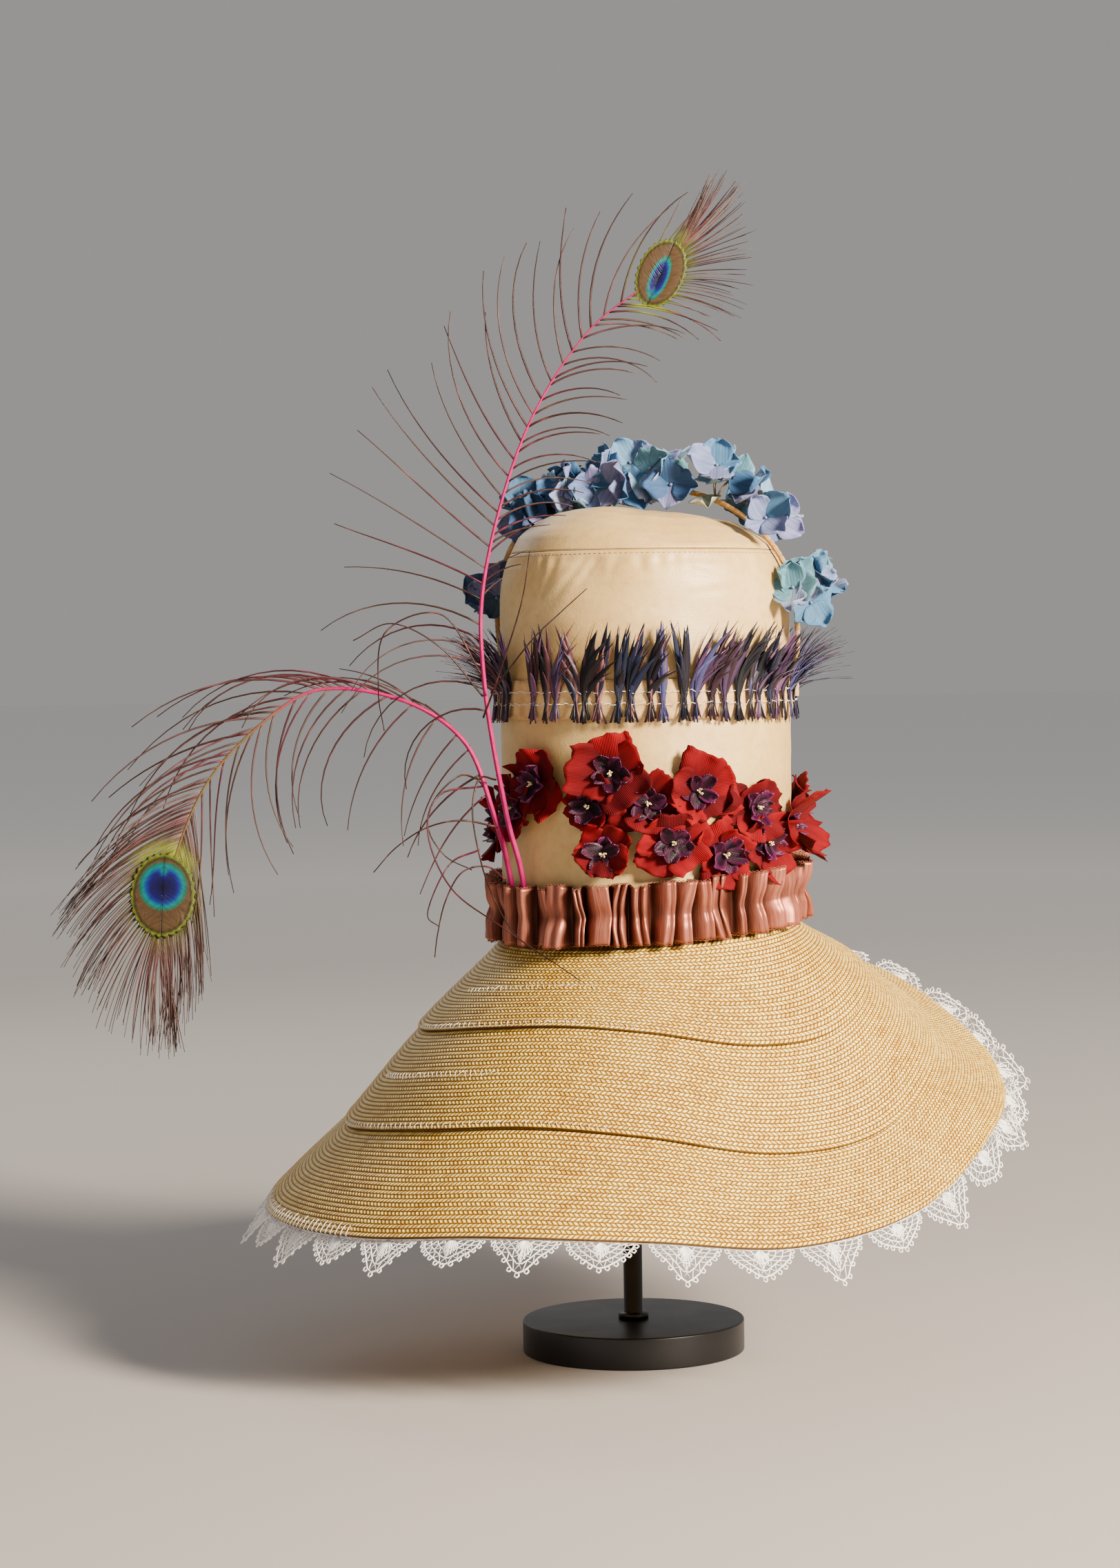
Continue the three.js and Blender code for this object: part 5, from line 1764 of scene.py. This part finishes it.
            azimuth = bloom.azimuth + np.degrees(s / FORM.crown_radius)
            path = FORM.on_hat(azimuth, FORM.crown_radius + lift, bloom.height + t)
            radius = np.array([0.28, 0.26, 0.26, 0.6, 0.3])
            tint = np.stack([linear("#7A4A2A")] * 3 + [linear("#D9B66A")] + [linear("#EFE0B0")])
            stamens.tube(path, radius, 6, tint)
        stamens.build(f"{name}_stamens", self.finishes.stamen, [], "flower_velvet")

    def build(self) -> None:
        """Make every flower."""
        for number, bloom in enumerate(self.blooms, start=1):
            level = self.levels[number % len(self.levels)]
            self.corolla(bloom, number, level)
            self.heart(bloom, number, level)


# Peacock feathers


@dataclass(frozen=True)
class BarbRow:
    """Length, angle and curl of the barbs on both sides at one place along a quill."""

    along: float
    left: float
    left_angle: float
    left_curl: float
    right: float
    right_angle: float
    right_curl: float


class EyeZone(Enum):
    """Colour zones of a peacock eye: the blue heart, and the bronze egg that it sits in."""

    HEART = (
        (0.0, "#06041C"), (0.56, "#100A48"), (0.7, "#10226E"),
        (0.79, "#064C6A"), (0.87, "#05625E"), (0.97, "#0A5244"),
    )
    EGG = (
        (0.0, "#3C2C1C"), (0.8, "#483622"), (0.88, "#28220F"),
        (0.925, "#4C5616"), (0.955, "#646C1E"), (0.985, "#383A18"),
    )


@dataclass
class PeacockFeather(SubAssembly):
    """One eye feather: dyed quill, herl barbs and the eye that their colours draw."""

    name: str
    pleat: int
    route: tuple[Point, ...]
    eye: Point
    lean: float
    share: float
    rows: tuple[BarbRow, ...]
    strays: tuple[tuple[Point, ...], ...]
    gaps: Point
    dense_from: Pair
    green: float
    fade: Pair
    bare: str
    seed: int
    quill_points: int = 400
    barb_points: int = 12
    stray_points: int = 40
    vane_grid: tuple[int, int] = (121, 36)
    shortest: float = 12.0
    pink: str = "#A8005A"
    quill_radius: float = 2.0
    tip_radius: float = 0.45
    eye_half: Pair = (20.0, 26.0)
    heart_half: Pair = (14.5, 14.5)
    heart_set: float = 5.4
    pleats: int = 42
    sway: float = 0.07
    foot: float = 266.0

    def curve(self) -> Array:
        """Give the quill's path from its seat in the ruffle to its tip.

        Returns:
            Points, one row each.
        """
        azimuth = 360 * (self.pleat + 0.5 + self.sway * math.sin(2.4 * self.pleat)) / self.pleats
        seat = FORM.neck_radius + 0.85 * self.quill_radius
        first = FORM.on_hat(azimuth, seat, self.foot)
        second = FORM.on_hat(azimuth, seat + 5.5, self.foot + 40)
        return spline([first, second, *self.route], self.quill_points)

    def row_at(self, along: float) -> dict[int, Point]:
        """Read the barb table at one place along the quill.

        Args:
            along: 0 at the foot, 1 at the tip.

        Returns:
            Length, angle and curl for the left side (1) and the right side (-1).
        """
        places = [row.along for row in self.rows]
        names = ("left", "left_angle", "left_curl", "right", "right_angle", "right_curl")
        columns = ([getattr(row, name) for row in self.rows] for name in names)
        values = [float(np.interp(along, places, column)) for column in columns]
        return {1: tuple(values[:3]), -1: tuple(values[3:])}

    def eye_share(self, points: Array) -> tuple[Array, Array, Array]:
        """Measure how far points lie from the blue heart and from the egg round it, 1 at their edges.

        Args:
            points: places on the feather.

        Returns:
            The distances from the heart, from the egg, and from its middle towards the quill's foot.
        """
        turn = math.radians(self.lean)
        away = points - np.array(self.eye)
        tall = away[..., 0] * math.sin(turn) + away[..., 2] * math.cos(turn)
        wide = (away[..., 0] * math.cos(turn) - away[..., 2] * math.sin(turn)) / self.share
        egg = np.hypot(wide / self.eye_half[0], tall / self.eye_half[1])
        low = (tall + self.heart_set) / self.heart_half[1]
        heart = np.hypot(wide / self.heart_half[0], low)
        notch = bell(wide, 0.16 * self.heart_half[0]) * np.clip(-low * 2, 0, 1)
        return heart + 0.3 * notch * (1 - smooth(heart, 0.6, 0.85)), egg, -tall / self.eye_half[1]

    def colour(self, points: Array, share: Array, rng: Random, pale: float = 0.0) -> Array:
        """Colour barb points by the eye's zones and by their place on the barb.

        Args:
            points: barb points.
            share: 0 at the quill, 1 at the barb's tip.
            rng: source of variety.
            pale: how much painted silvery sheen the barb gets; the close barbs get the most.

        Returns:
            Linear RGBA rows.
        """
        heart, far, rootward = self.eye_share(points)
        zones = []
        for zone, reach in ((EyeZone.HEART, heart), (EyeZone.EGG, far)):
            places = [place for place, _ in zone.value]
            colours = np.array([linear(code) for _, code in zone.value])
            zones.append(np.stack([np.interp(reach, places, colours[:, k]) for k in range(3)], -1))
        inside = smooth(heart, 1.06, 0.98)[:, None]
        eye = zones[0] * inside + zones[1] * (1 - inside)
        root = mixed("#4A1828", "#2E1C12", rng.uniform(0, 1))[:3]
        tip = mixed("#1A110C", "#3E2620", rng.uniform(0, 1))[:3]
        plain = root * (1 - share[:, None]) + tip * share[:, None]
        # Painted glints: bright flecks along each barb stand in for the herl's shine.
        painted_glint = np.maximum(0, np.sin(share * rng.uniform(18, 40) + rng.uniform(0, 6)))[:, None] ** 4
        plain = plain * (1 + 3.5 * painted_glint * rng.uniform(0.2, 1))
        near = bell(far - 1.05, 0.3)[:, None] * self.green
        neck = (0.85 * bell(far - 1.09, 0.16) * smooth(rootward, 0.5, 0.98))[:, None]
        # A painted silvery sheen, the green rim of the egg and the lime barbs at its neck
        for code, part in (("#94807C", pale), ("#5C6420", near), ("#8C9422", neck)):
            plain = plain * (1 - part) + rgba(code)[:3] * part
        edge = smooth(far, 0.97, 1.04)[:, None]
        rgb = eye * (1 - edge) + plain * edge
        return np.concatenate([rgb, np.ones((len(points), 1))], 1)

    def barb(
        self,
        mesher: Mesher,
        start: Array,
        run: Array,
        shape: Point,
        dense: bool,
        rng: Random,
    ) -> None:
        """Grow one barb.

        Args:
            mesher: where it goes.
            start: its root on the quill.
            run: the quill's direction there.
            shape: length, angle and curl; positive angles turn to the left.
            dense: true for the close barbs round the eye, which lie evenly.
            rng: source of variety.
        """
        length, angle, curl = shape
        count = self.barb_points
        share = np.linspace(0, 1, count)
        hook = rng.normal(0, 9) * share**3 * (0.3 if dense else 1.0)
        bend = np.radians(angle + curl * share + hook)
        heading = math.atan2(run[0], run[2]) - bend
        drift = (rng.normal(0, 0.06) * share + rng.normal(0, 0.08) * share**2) * (0.5 if dense else 1.0)
        step = np.stack([np.sin(heading), drift, np.cos(heading)], 1) * length / (count - 1)
        path = start + np.concatenate([np.zeros((1, 3)), np.cumsum(step[:-1], axis=0)])
        thick = rng.uniform(0.36, 0.46) if dense else rng.uniform(0.55, 0.72)
        # Painted sheen: the close barbs get more of the silvery sheen painted into their colour.
        pale = rng.uniform(0, 0.8) ** 2 if dense else rng.uniform(0, 0.5) ** 2
        mesher.tube(path, thick * (1 - 0.6 * share**1.5), 4, self.colour(path, share, rng, pale))

    def vane(self, mesher: Mesher) -> None:
        """Lay the closed middle of the eye among its barbs.

        Args:
            mesher: where it goes.
        """
        turn = math.radians(self.lean)
        tall = np.array([math.sin(turn), 0, math.cos(turn)])
        wide = np.array([math.cos(turn), 0, -math.sin(turn)])
        angle = np.linspace(0, 2 * math.pi, self.vane_grid[0])[:, None]
        reach = np.linspace(0.01, 0.985, self.vane_grid[1])[None, :]
        ragged = 1 + 0.05 * np.sin(angle * 29) * reach**6
        s = self.eye_half[0] * self.share * reach * ragged * np.sin(angle)
        t = self.eye_half[1] * reach * ragged * np.cos(angle)
        points = np.array(self.eye) + s[..., None] * wide + t[..., None] * tall
        comb = np.abs(s) * 0.55 - t * 0.83
        points[..., 1] += -1.5 + 0.9 * reach**4 + 0.12 * np.sin(comb * 5.2)
        rng = np.random.default_rng(self.seed)
        flat = points.reshape(-1, 3)
        tint = self.colour(flat, np.ones(len(flat)), rng).reshape(*points.shape[:2], 4)
        tint[..., :3] *= (1 - 0.55 * bell(s, 0.7))[..., None]
        mesher.sheet(points, 0.4, tint, np.stack([np.abs(s) * 0.83 + t * 0.55, comb], -1))

    def build(self) -> None:
        """Make the quill, the barbs and the eye."""
        rng = np.random.default_rng(self.seed)
        path = self.curve()
        run = unit(np.gradient(path, axis=0))
        length = float(np.linalg.norm(np.diff(path, axis=0), axis=1).sum())
        mesher = Mesher()
        share = np.linspace(0, 1, len(path))
        radius = self.quill_radius + (self.tip_radius - self.quill_radius) * share**0.8
        pink, bare = (rgba(code) for code in (self.pink, self.bare))
        fade = smooth(share, *self.fade)[:, None]
        mesher.tube(path, radius, 10, pink * (1 - fade) + bare * fade)
        for side, loose, close in zip((1, -1), self.gaps, self.dense_from):
            along = self.rows[0].along
            while along < 0.998:
                reach, angle, curl = self.row_at(along)[side]
                at = min(int(along * (len(path) - 1)), len(path) - 2)
                if reach > self.shortest:
                    grown = reach * rng.uniform(0.8, 1.05)
                    dense = along > close
                    loosen = 0.35 if dense else 1.0
                    angle = angle + rng.normal(0, 3.5) * loosen
                    curl = curl + rng.normal(0, 8) * loosen
                    self.barb(mesher, path[at], run[at], (grown, side * angle, side * curl), dense, rng)
                gap = loose + (self.gaps[2] - loose) * float(smooth(along, close - 0.08, close + 0.05))
                along += gap * rng.uniform(0.6, 1.4) / length
        for knots in self.strays:
            stray = spline(knots, self.stray_points)
            thin = np.linspace(0.7, 0.35, self.stray_points)
            mesher.tube(stray, thin, 5, self.colour(stray, np.linspace(0, 1, self.stray_points), rng))
        self.vane(mesher)
        mesher.build(f"{self.name}_herl", self.finishes.herl, [self.name], "peacock_feather")


def peacock_feathers(finishes: Finishes) -> tuple[PeacockFeather, PeacockFeather]:
    """List the two feathers.

    Args:
        finishes: the hat's finishes.

    Returns:
        The upright feather and the arched one.
    """
    upright = PeacockFeather(
        finishes,
        name="peacock_feather_upright",
        pleat=25,
        route=(
            (-75, -66, 344), (-87, -68, 422), (-86, -66, 488), (-61, -64, 573),
            (-22, -62, 635), (24, -60, 671), (44, -60, 696),
        ),
        eye=(24, -60, 671),
        lean=24,
        share=0.62,
        rows=(
            BarbRow(0.30, 96, 70, 120, 0, 0, 0),
            BarbRow(0.40, 98, 58, 78, 0, 0, 0),
            BarbRow(0.455, 108, 68, 14, 22, 40, 20),
            BarbRow(0.53, 110, 64, -16, 50, 44, 46),
            BarbRow(0.60, 106, 60, -26, 58, 40, 52),
            BarbRow(0.67, 102, 56, -32, 60, 34, 54),
            BarbRow(0.73, 98, 54, -36, 62, 30, 54),
            BarbRow(0.79, 92, 52, -42, 64, 32, 48),
            BarbRow(0.85, 86, 46, -42, 66, 36, 40),
            BarbRow(0.91, 66, 32, -26, 62, 34, 26),
            BarbRow(0.96, 54, 16, -2, 54, 20, -8),
            BarbRow(1.00, 44, 2, 4, 48, 8, -8),
        ),
        strays=(
            (
                (-81, -66, 364), (-91, -78, 365), (-95, -86, 344), (-89, -96, 311),
                (-79, -110, 287), (-67, -116, 270), (-48, -124, 257),
            ),
            (
                (-76, -68, 303), (-87, -84, 312), (-102, -92, 309),
                (-112, -94, 292), (-117, -96, 272), (-119, -92, 258),
            ),
            ((-88, -68, 402), (-79, -82, 425), (-64, -100, 469), (-58, -100, 502)),
            ((-83, -72, 417), (-58, -102, 448), (-41, -108, 464), (-24, -108, 479)),
            ((-88, -68, 415), (-113, -76, 445), (-142, -80, 460), (-166, -80, 450)),
            ((-88, -68, 427), (-112, -76, 465), (-146, -84, 455), (-151, -84, 420), (-148, -80, 395)),
        ),
        gaps=(11.5, 8.0, 1.0),
        dense_from=(0.91, 0.87),
        green=0.75,
        fade=(0.6, 0.97),
        bare="#7C2C46",
        eye_half=(23.4, 22.0),
        heart_half=(9.0, 14.0),
        heart_set=3.0,
        seed=71,
    )
    arched = PeacockFeather(
        finishes,
        name="peacock_feather_arched",
        pleat=24,
        route=(
            (-83, -62, 344), (-99, -62, 386), (-132, -62, 411), (-178, -62, 421), (-211, -62, 410),
            (-258, -62, 364), (-286, -62, 295), (-289, -62, 262),
        ),
        eye=(-286, -62.5, 296),
        lean=184,
        share=1.0,
        rows=(
            BarbRow(0.22, 74, 112, 40, 0, 0, 0),
            BarbRow(0.36, 80, 80, 50, 40, 14, -40),
            BarbRow(0.44, 96, 46, 66, 112, 20, -78),
            BarbRow(0.51, 104, 42, 62, 126, 22, -70),
            BarbRow(0.58, 102, 36, 54, 128, 26, -60),
            BarbRow(0.64, 96, 30, 40, 122, 30, -52),
            BarbRow(0.70, 92, 28, 24, 114, 36, -46),
            BarbRow(0.76, 92, 30, 4, 106, 43, -40),
            BarbRow(0.83, 96, 34, -14, 98, 50, -36),
            BarbRow(0.88, 94, 32, -20, 92, 44, -36),
            BarbRow(0.92, 90, 26, -20, 86, 32, -28),
            BarbRow(0.96, 80, 14, -10, 78, 16, -14),
            BarbRow(1.00, 66, 4, 0, 64, 6, -6),
        ),
        strays=(
            (
                (-91, -62, 364), (-103, -76, 367), (-118, -84, 353),
                (-122, -88, 336), (-112, -88, 319), (-96, -84, 310),
            ),
            ((-80, -66, 335), (-102, -80, 340), (-123, -82, 336), (-142, -80, 324), (-156, -78, 309)),
            (
                (-89, -62, 360), (-115, -86, 356), (-122, -94, 333),
                (-108, -102, 300), (-77, -116, 277), (-31, -144, 247),
            ),
            ((-92, -62, 321), (-110, -82, 313), (-123, -90, 285), (-116, -90, 276)),
        ),
        gaps=(12.5, 7.0, 0.75),
        dense_from=(0.78, 0.75),
        green=0.3,
        fade=(0.46, 0.68),
        bare="#6A5634",
        seed=72,
    )
    return upright, arched


# Hydrangea garland


@dataclass(frozen=True)
class Sprig:
    """Place of one sprig on the stem."""

    along: float
    reach: float
    size: float
    swing: float
    florets: int
    spread: float
    turn: float
    # How far its florets lean to navy: partly a deeper dye, partly painted shade.
    dark: float
    front: int


@dataclass
class Garland(SubAssembly):
    """Raffia-wound wire arched over the crown, with hydrangea sprigs."""

    radius: float = 1.8
    route: tuple[Point, ...] = (
        (107, -16, 468), (94.5, -33, 502), (68, -16, 529), (31, 10, 543),
        (-23, 26, 539), (-63, 42, 521), (-80, 44, 476),
    )
    ends: Pair = (352.0, 158.0)
    foot: float = 412.0
    band_radius: float = 93.0
    heart_height: float = 470.0
    sprigs: tuple[Sprig, ...] = (
        Sprig(0.17, 21, 17.0, -10, 6, 26, 20, 0.24, 1),
        Sprig(0.295, 21, 17.5, 0, 4, 38, 55, 0.12, 0),
        Sprig(0.38, 24, 17.5, 10, 4, 34, 10, 0.16, 0),
        Sprig(0.465, 20, 17.5, -10, 4, 34, 35, 0.2, 1),
        Sprig(0.54, 18, 16.5, 12, 5, 30, 62, 0.15, 4),
        Sprig(0.62, 13, 16.0, -16, 5, 24, 15, 0.3, 4),
        Sprig(0.69, 13, 16.0, 12, 5, 24, 40, 0.45, 4),
        Sprig(0.83, 13, 15.0, 0, 3, 34, 28, 0.82, 2),
    )
    loose: tuple[tuple[float, float, str], ...] = ((6.0, 20.0, "#8FAE9C"), (50.0, 17.0, "#A6AE98"))
    stem_points: int = 320
    wound_points: int = 900
    wind_step: float = 9.0
    sepal_grid: int = 9
    sepal_wall: float = 0.35
    seed: int = 90
    hues: tuple[str, ...] = ("#2E608E", "#42769E", "#5A8AAC", "#285486", "#5E74A8", "#5C92A2", "#769EB8")

    def curve(self) -> Array:
        """Give the stem's path.

        Returns:
            Points, one row each.
        """
        seat = self.band_radius + 0.3 + self.radius
        first, last = (FORM.on_hat(azimuth, seat, self.foot) for azimuth in self.ends)
        return spline([first, *self.route, last], self.stem_points)

    def stem(self, path: Array) -> None:
        """Wind the stem with raffia.

        Args:
            path: the stem's points.
        """
        rng = np.random.default_rng(self.seed)
        mesher = Mesher()
        count = self.wound_points
        fine = spline(path[::6].tolist(), count)
        wind = np.arange(count) * 2 * math.pi / self.wind_step
        radius = self.radius - 0.22 + 0.2 * np.abs(np.sin(wind / 2)) + 0.05 * rng.normal(size=count)
        shade = 0.5 + 0.5 * np.sin(np.arange(count) / 13)
        tint = np.array([mixed("#B98A4C", "#DDB87A", float(s)) for s in shade])
        mesher.tube(fine, radius, 10, tint)
        mesher.build("garland_stem_wound", self.finishes.raffia, ["garland_stem"], "stem_raffia")

    def sepal(
        self,
        mesher: Mesher,
        centre: Array,
        axes: tuple[Array, Array, Array],
        size: float,
        tint: Array,
        rng: Random,
    ) -> None:
        """Add one cupped sepal.

        Args:
            mesher: where it goes.
            centre: the floret's middle.
            axes: along, across and facing directions.
            size: the sepal's length.
            tint: its colour.
            rng: source of variety.
        """
        along, across, facing = axes
        share = np.linspace(0.05, 1, self.sepal_grid)[:, None]
        side = np.linspace(-1, 1, self.sepal_grid)[None, :]
        wide = size * 0.6 * np.sin(math.pi * np.clip(0.07 + 0.85 * share**0.95, 0, 1)) ** 0.85
        run = size * share * (1 - 0.2 * side**2 * share)
        phase = rng.uniform(0, 2 * math.pi, 2)
        cup = rng.uniform(0.0, 0.6) * size
        lift = cup * share**1.5 + 0.2 * size * (side**2) * share * rng.uniform(-1.4, 2.0)
        lift = lift + 0.05 * size * share**2 * np.sin(side * 5 + phase[0])
        lift = lift + 0.04 * size * np.sin(share * 6 + phase[1]) * share
        points = centre + run[..., None] * along + (wide * side)[..., None] * across
        points = points + lift[..., None] * facing
        vein = 1 - 0.16 * bell(side, 0.1) * np.ones_like(share)
        fan = 1 - 0.10 * (0.5 + 0.5 * np.sin(side * 14 + share * 3))
        edge = 1 + 0.25 * (share**3 * (0.4 + 0.6 * side**2))
        colour = tint[None, None] * (vein * fan * edge)[..., None]
        colour[..., 3] = 1
        mesher.sheet(points, self.sepal_wall, np.clip(colour, 0, 1), joined(run, wide * side))

    def sprig(self, sprig: Sprig, number: int, path: Array) -> None:
        """Make one sprig.

        Args:
            sprig: its place and size.
            number: its number, from 1.
            path: the stem's points.
        """
        rng = np.random.default_rng(self.seed + number)
        at = int(sprig.along * (len(path) - 1))
        root = path[at]
        run = unit(np.gradient(path, axis=0))[at]
        away = root - np.array([FORM.axis_x, 0, self.heart_height])
        away = unit(away - run * away.dot(run))
        turn = Matrix.Rotation(math.radians(sprig.swing), 3, run.tolist())
        away = np.array(turn) @ away
        mesher = Mesher()
        stalks = Mesher()
        for i in range(sprig.florets + sprig.front):
            fork = (i - (sprig.florets - 1) / 2) * sprig.spread + rng.uniform(-8, 8)
            swing = np.array(Matrix.Rotation(math.radians(fork), 3, run.tolist())) @ away
            drift = run * rng.uniform(-0.7, 0.7)
            out = unit(swing + drift)
            if i >= sprig.florets:
                step = i - sprig.florets - (sprig.front - 1) / 2
                out = unit(np.array([0.0, -1.0, rng.uniform(0.0, 0.35)]) + run * step * 0.9)
            centre = root + out * sprig.reach * rng.uniform(0.8, 1.15)
            nod = [rng.uniform(*limits) for limits in ((-0.9, 0.9), (-1.7, 0.3), (-0.4, 0.6))]
            facing = unit(out + np.array(nod))
            wide = unit(np.cross(facing, [0.3, 0.2, 0.9]))
            tall = np.cross(facing, wide)
            hue = rgba(self.hues[int(rng.integers(len(self.hues)))])
            # Darkened towards navy by the sprig's dark share: partly deeper dye, partly painted shade.
            navy_and_shade = rgba("#1E2C4A")
            tint = hue * (1 - sprig.dark) + navy_and_shade * sprig.dark
            lilac = rgba("#9A8ABA")
            for k in range(4):
                angle = math.radians(sprig.turn + 40 * i + 90 * k + rng.uniform(-10, 10))
                along = math.cos(angle) * wide + math.sin(angle) * tall
                across = np.cross(facing, along)
                shade = tint * rng.uniform(0.8, 1.15)
                shade = shade * 0.6 + lilac * 0.4 if rng.random() < 0.2 else shade
                size = sprig.size * rng.uniform(0.82, 1.08)
                self.sepal(mesher, centre, (along, across, facing), size, shade, rng)
            bead = centre + facing[None] * np.linspace(-0.5, 2.2, 5)[:, None]
            mesher.tube(bead, np.array([0.6, 1.0, 1.15, 0.9, 0.3]), 8, linear("#6F86A0"))
            stalk = spline([root + out * (self.radius + 0.2), (root + centre) / 2 + run * 1.5, centre], 10)
            stalks.tube(stalk, 0.7, 6, linear("#8A7A58"))
        name = f"hydrangea_sprig_{number}"
        mesher.build(f"{name}_sepals", self.finishes.sepal, [name], "hydrangea_cloth")
        stalks.build(f"{name}_stalks", self.finishes.raffia, [], "stem_raffia")

    def build(self) -> None:
        """Make the stem and its sprigs."""
        path = self.curve()
        self.stem(path)
        for number, sprig in enumerate(self.sprigs, start=1):
            self.sprig(sprig, number, path)
        rng = np.random.default_rng(self.seed)
        mesher = Mesher()
        along, facing = unit(np.array([0.15, -0.7, -0.8])), unit(np.array([0.0, -0.8, 0.6]))
        axes = (along, np.array([1.0, 0.0, 0.2]), facing)
        for across, size, hue in self.loose:
            root = path[np.abs(path[:, 0] - across).argmin()] + np.array([0.0, -self.radius, 0.0])
            self.sepal(mesher, root, axes, size, rgba(hue), rng)
        mesher.build("hydrangea_loose_sepals", self.finishes.sepal, [], "hydrangea_cloth")


# Camera, floor and light


@dataclass(frozen=True)
class Softbox:
    """One soft lamp: where it hangs and the width of its face in metres, power in watts, and colour."""

    name: str
    place: Point
    size: float
    power: float
    color: str


@dataclass
class Studio:
    """Camera at the photo's angle, pale floor and soft light."""

    image_width: int = 1624
    focal_px: float = 5110.0
    camera_mm: Point = (-41.8, -2218.0, 435.2)
    pitch_deg: float = 1.98
    roll_deg: float = 0.8
    sensor_mm: float = 36.0
    clip_end: float = 100.0
    floor_half: float = 40.0
    aim: Point = (0.0, 0.0, 0.35)
    lamps: tuple[Softbox, ...] = (
        Softbox("key_softbox", (1.8, -1.7, 1.35), 0.6, 365, "#FFF1DC"),
        Softbox("fill_softbox", (-1.6, -2.0, 1.0), 1.8, 5, "#F4F4FF"),
        Softbox("rim_softbox", (-0.9, 1.6, 1.5), 1.0, 9, "#FFFFFF"),
    )
    sky: str = "#E6E3E1"
    sky_strength: float = 0.42

    def camera(self) -> None:
        """Set the camera."""
        data = bpy.data.cameras.new("studio_camera")
        data.sensor_fit = "HORIZONTAL"
        data.sensor_width = self.sensor_mm
        data.lens = self.focal_px * self.sensor_mm / self.image_width
        data.clip_end = self.clip_end
        camera = bpy.data.objects.new("studio_camera", data)
        place = Matrix.Translation([value * MM for value in self.camera_mm])
        tilt = Matrix.Rotation(math.radians(90 - self.pitch_deg), 4, "X")
        roll = Matrix.Rotation(math.radians(-self.roll_deg), 4, "Z")
        camera.matrix_world = place @ tilt @ roll
        bpy.context.scene.collection.objects.link(camera)
        bpy.context.scene.camera = camera

    def floor(self) -> None:
        """Lay the pale floor."""
        half = self.floor_half
        mesh = bpy.data.meshes.new("studio_floor")
        corners = [(-half, -half, 0), (half, -half, 0), (half, half, 0), (-half, half, 0)]
        mesh.from_pydata(corners, [], [(0, 1, 2, 3)])
        mesh.materials.append(PaperSweep("matt_paper_floor", roughness=0.8).make())
        floor = bpy.data.objects.new("studio_floor", mesh)
        bpy.context.scene.collection.objects.link(floor)

    def hang(self, softbox: Softbox) -> None:
        """Hang one soft lamp that faces the crown.

        Args:
            softbox: the lamp.
        """
        data = bpy.data.lights.new(softbox.name, "AREA")
        data.size = softbox.size
        data.energy = softbox.power
        data.color = linear(softbox.color)[:3]
        lamp = bpy.data.objects.new(softbox.name, data)
        lamp.location = softbox.place
        aim = Vector(self.aim) - lamp.location
        lamp.rotation_euler = aim.to_track_quat("-Z", "Y").to_euler()
        bpy.context.scene.collection.objects.link(lamp)

    def build(self) -> None:
        """Set up the whole studio."""
        self.camera()
        self.floor()
        for softbox in self.lamps:
            self.hang(softbox)
        world = bpy.data.worlds.new("studio_world")
        world.use_nodes = True
        sky = world.node_tree.nodes["Background"]
        sky.inputs["Color"].default_value = linear(self.sky)
        sky.inputs["Strength"].default_value = self.sky_strength
        bpy.context.scene.world = world


def main() -> None:
    """Load the frame, set up the studio and dress every sub-assembly."""
    logging.basicConfig(level=logging.INFO, format="%(name)s %(message)s")
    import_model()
    Studio().build()
    finishes = Finishes()
    kinds = (Stand, Crown, Brim, Lace, Ruffle, FeatherBand, Flowers, Garland)
    for part in [*(kind(finishes) for kind in kinds), *peacock_feathers(finishes)]:
        LOG.info("building %s", type(part).__name__)
        part.build()


if __name__ == "__main__":
    main()
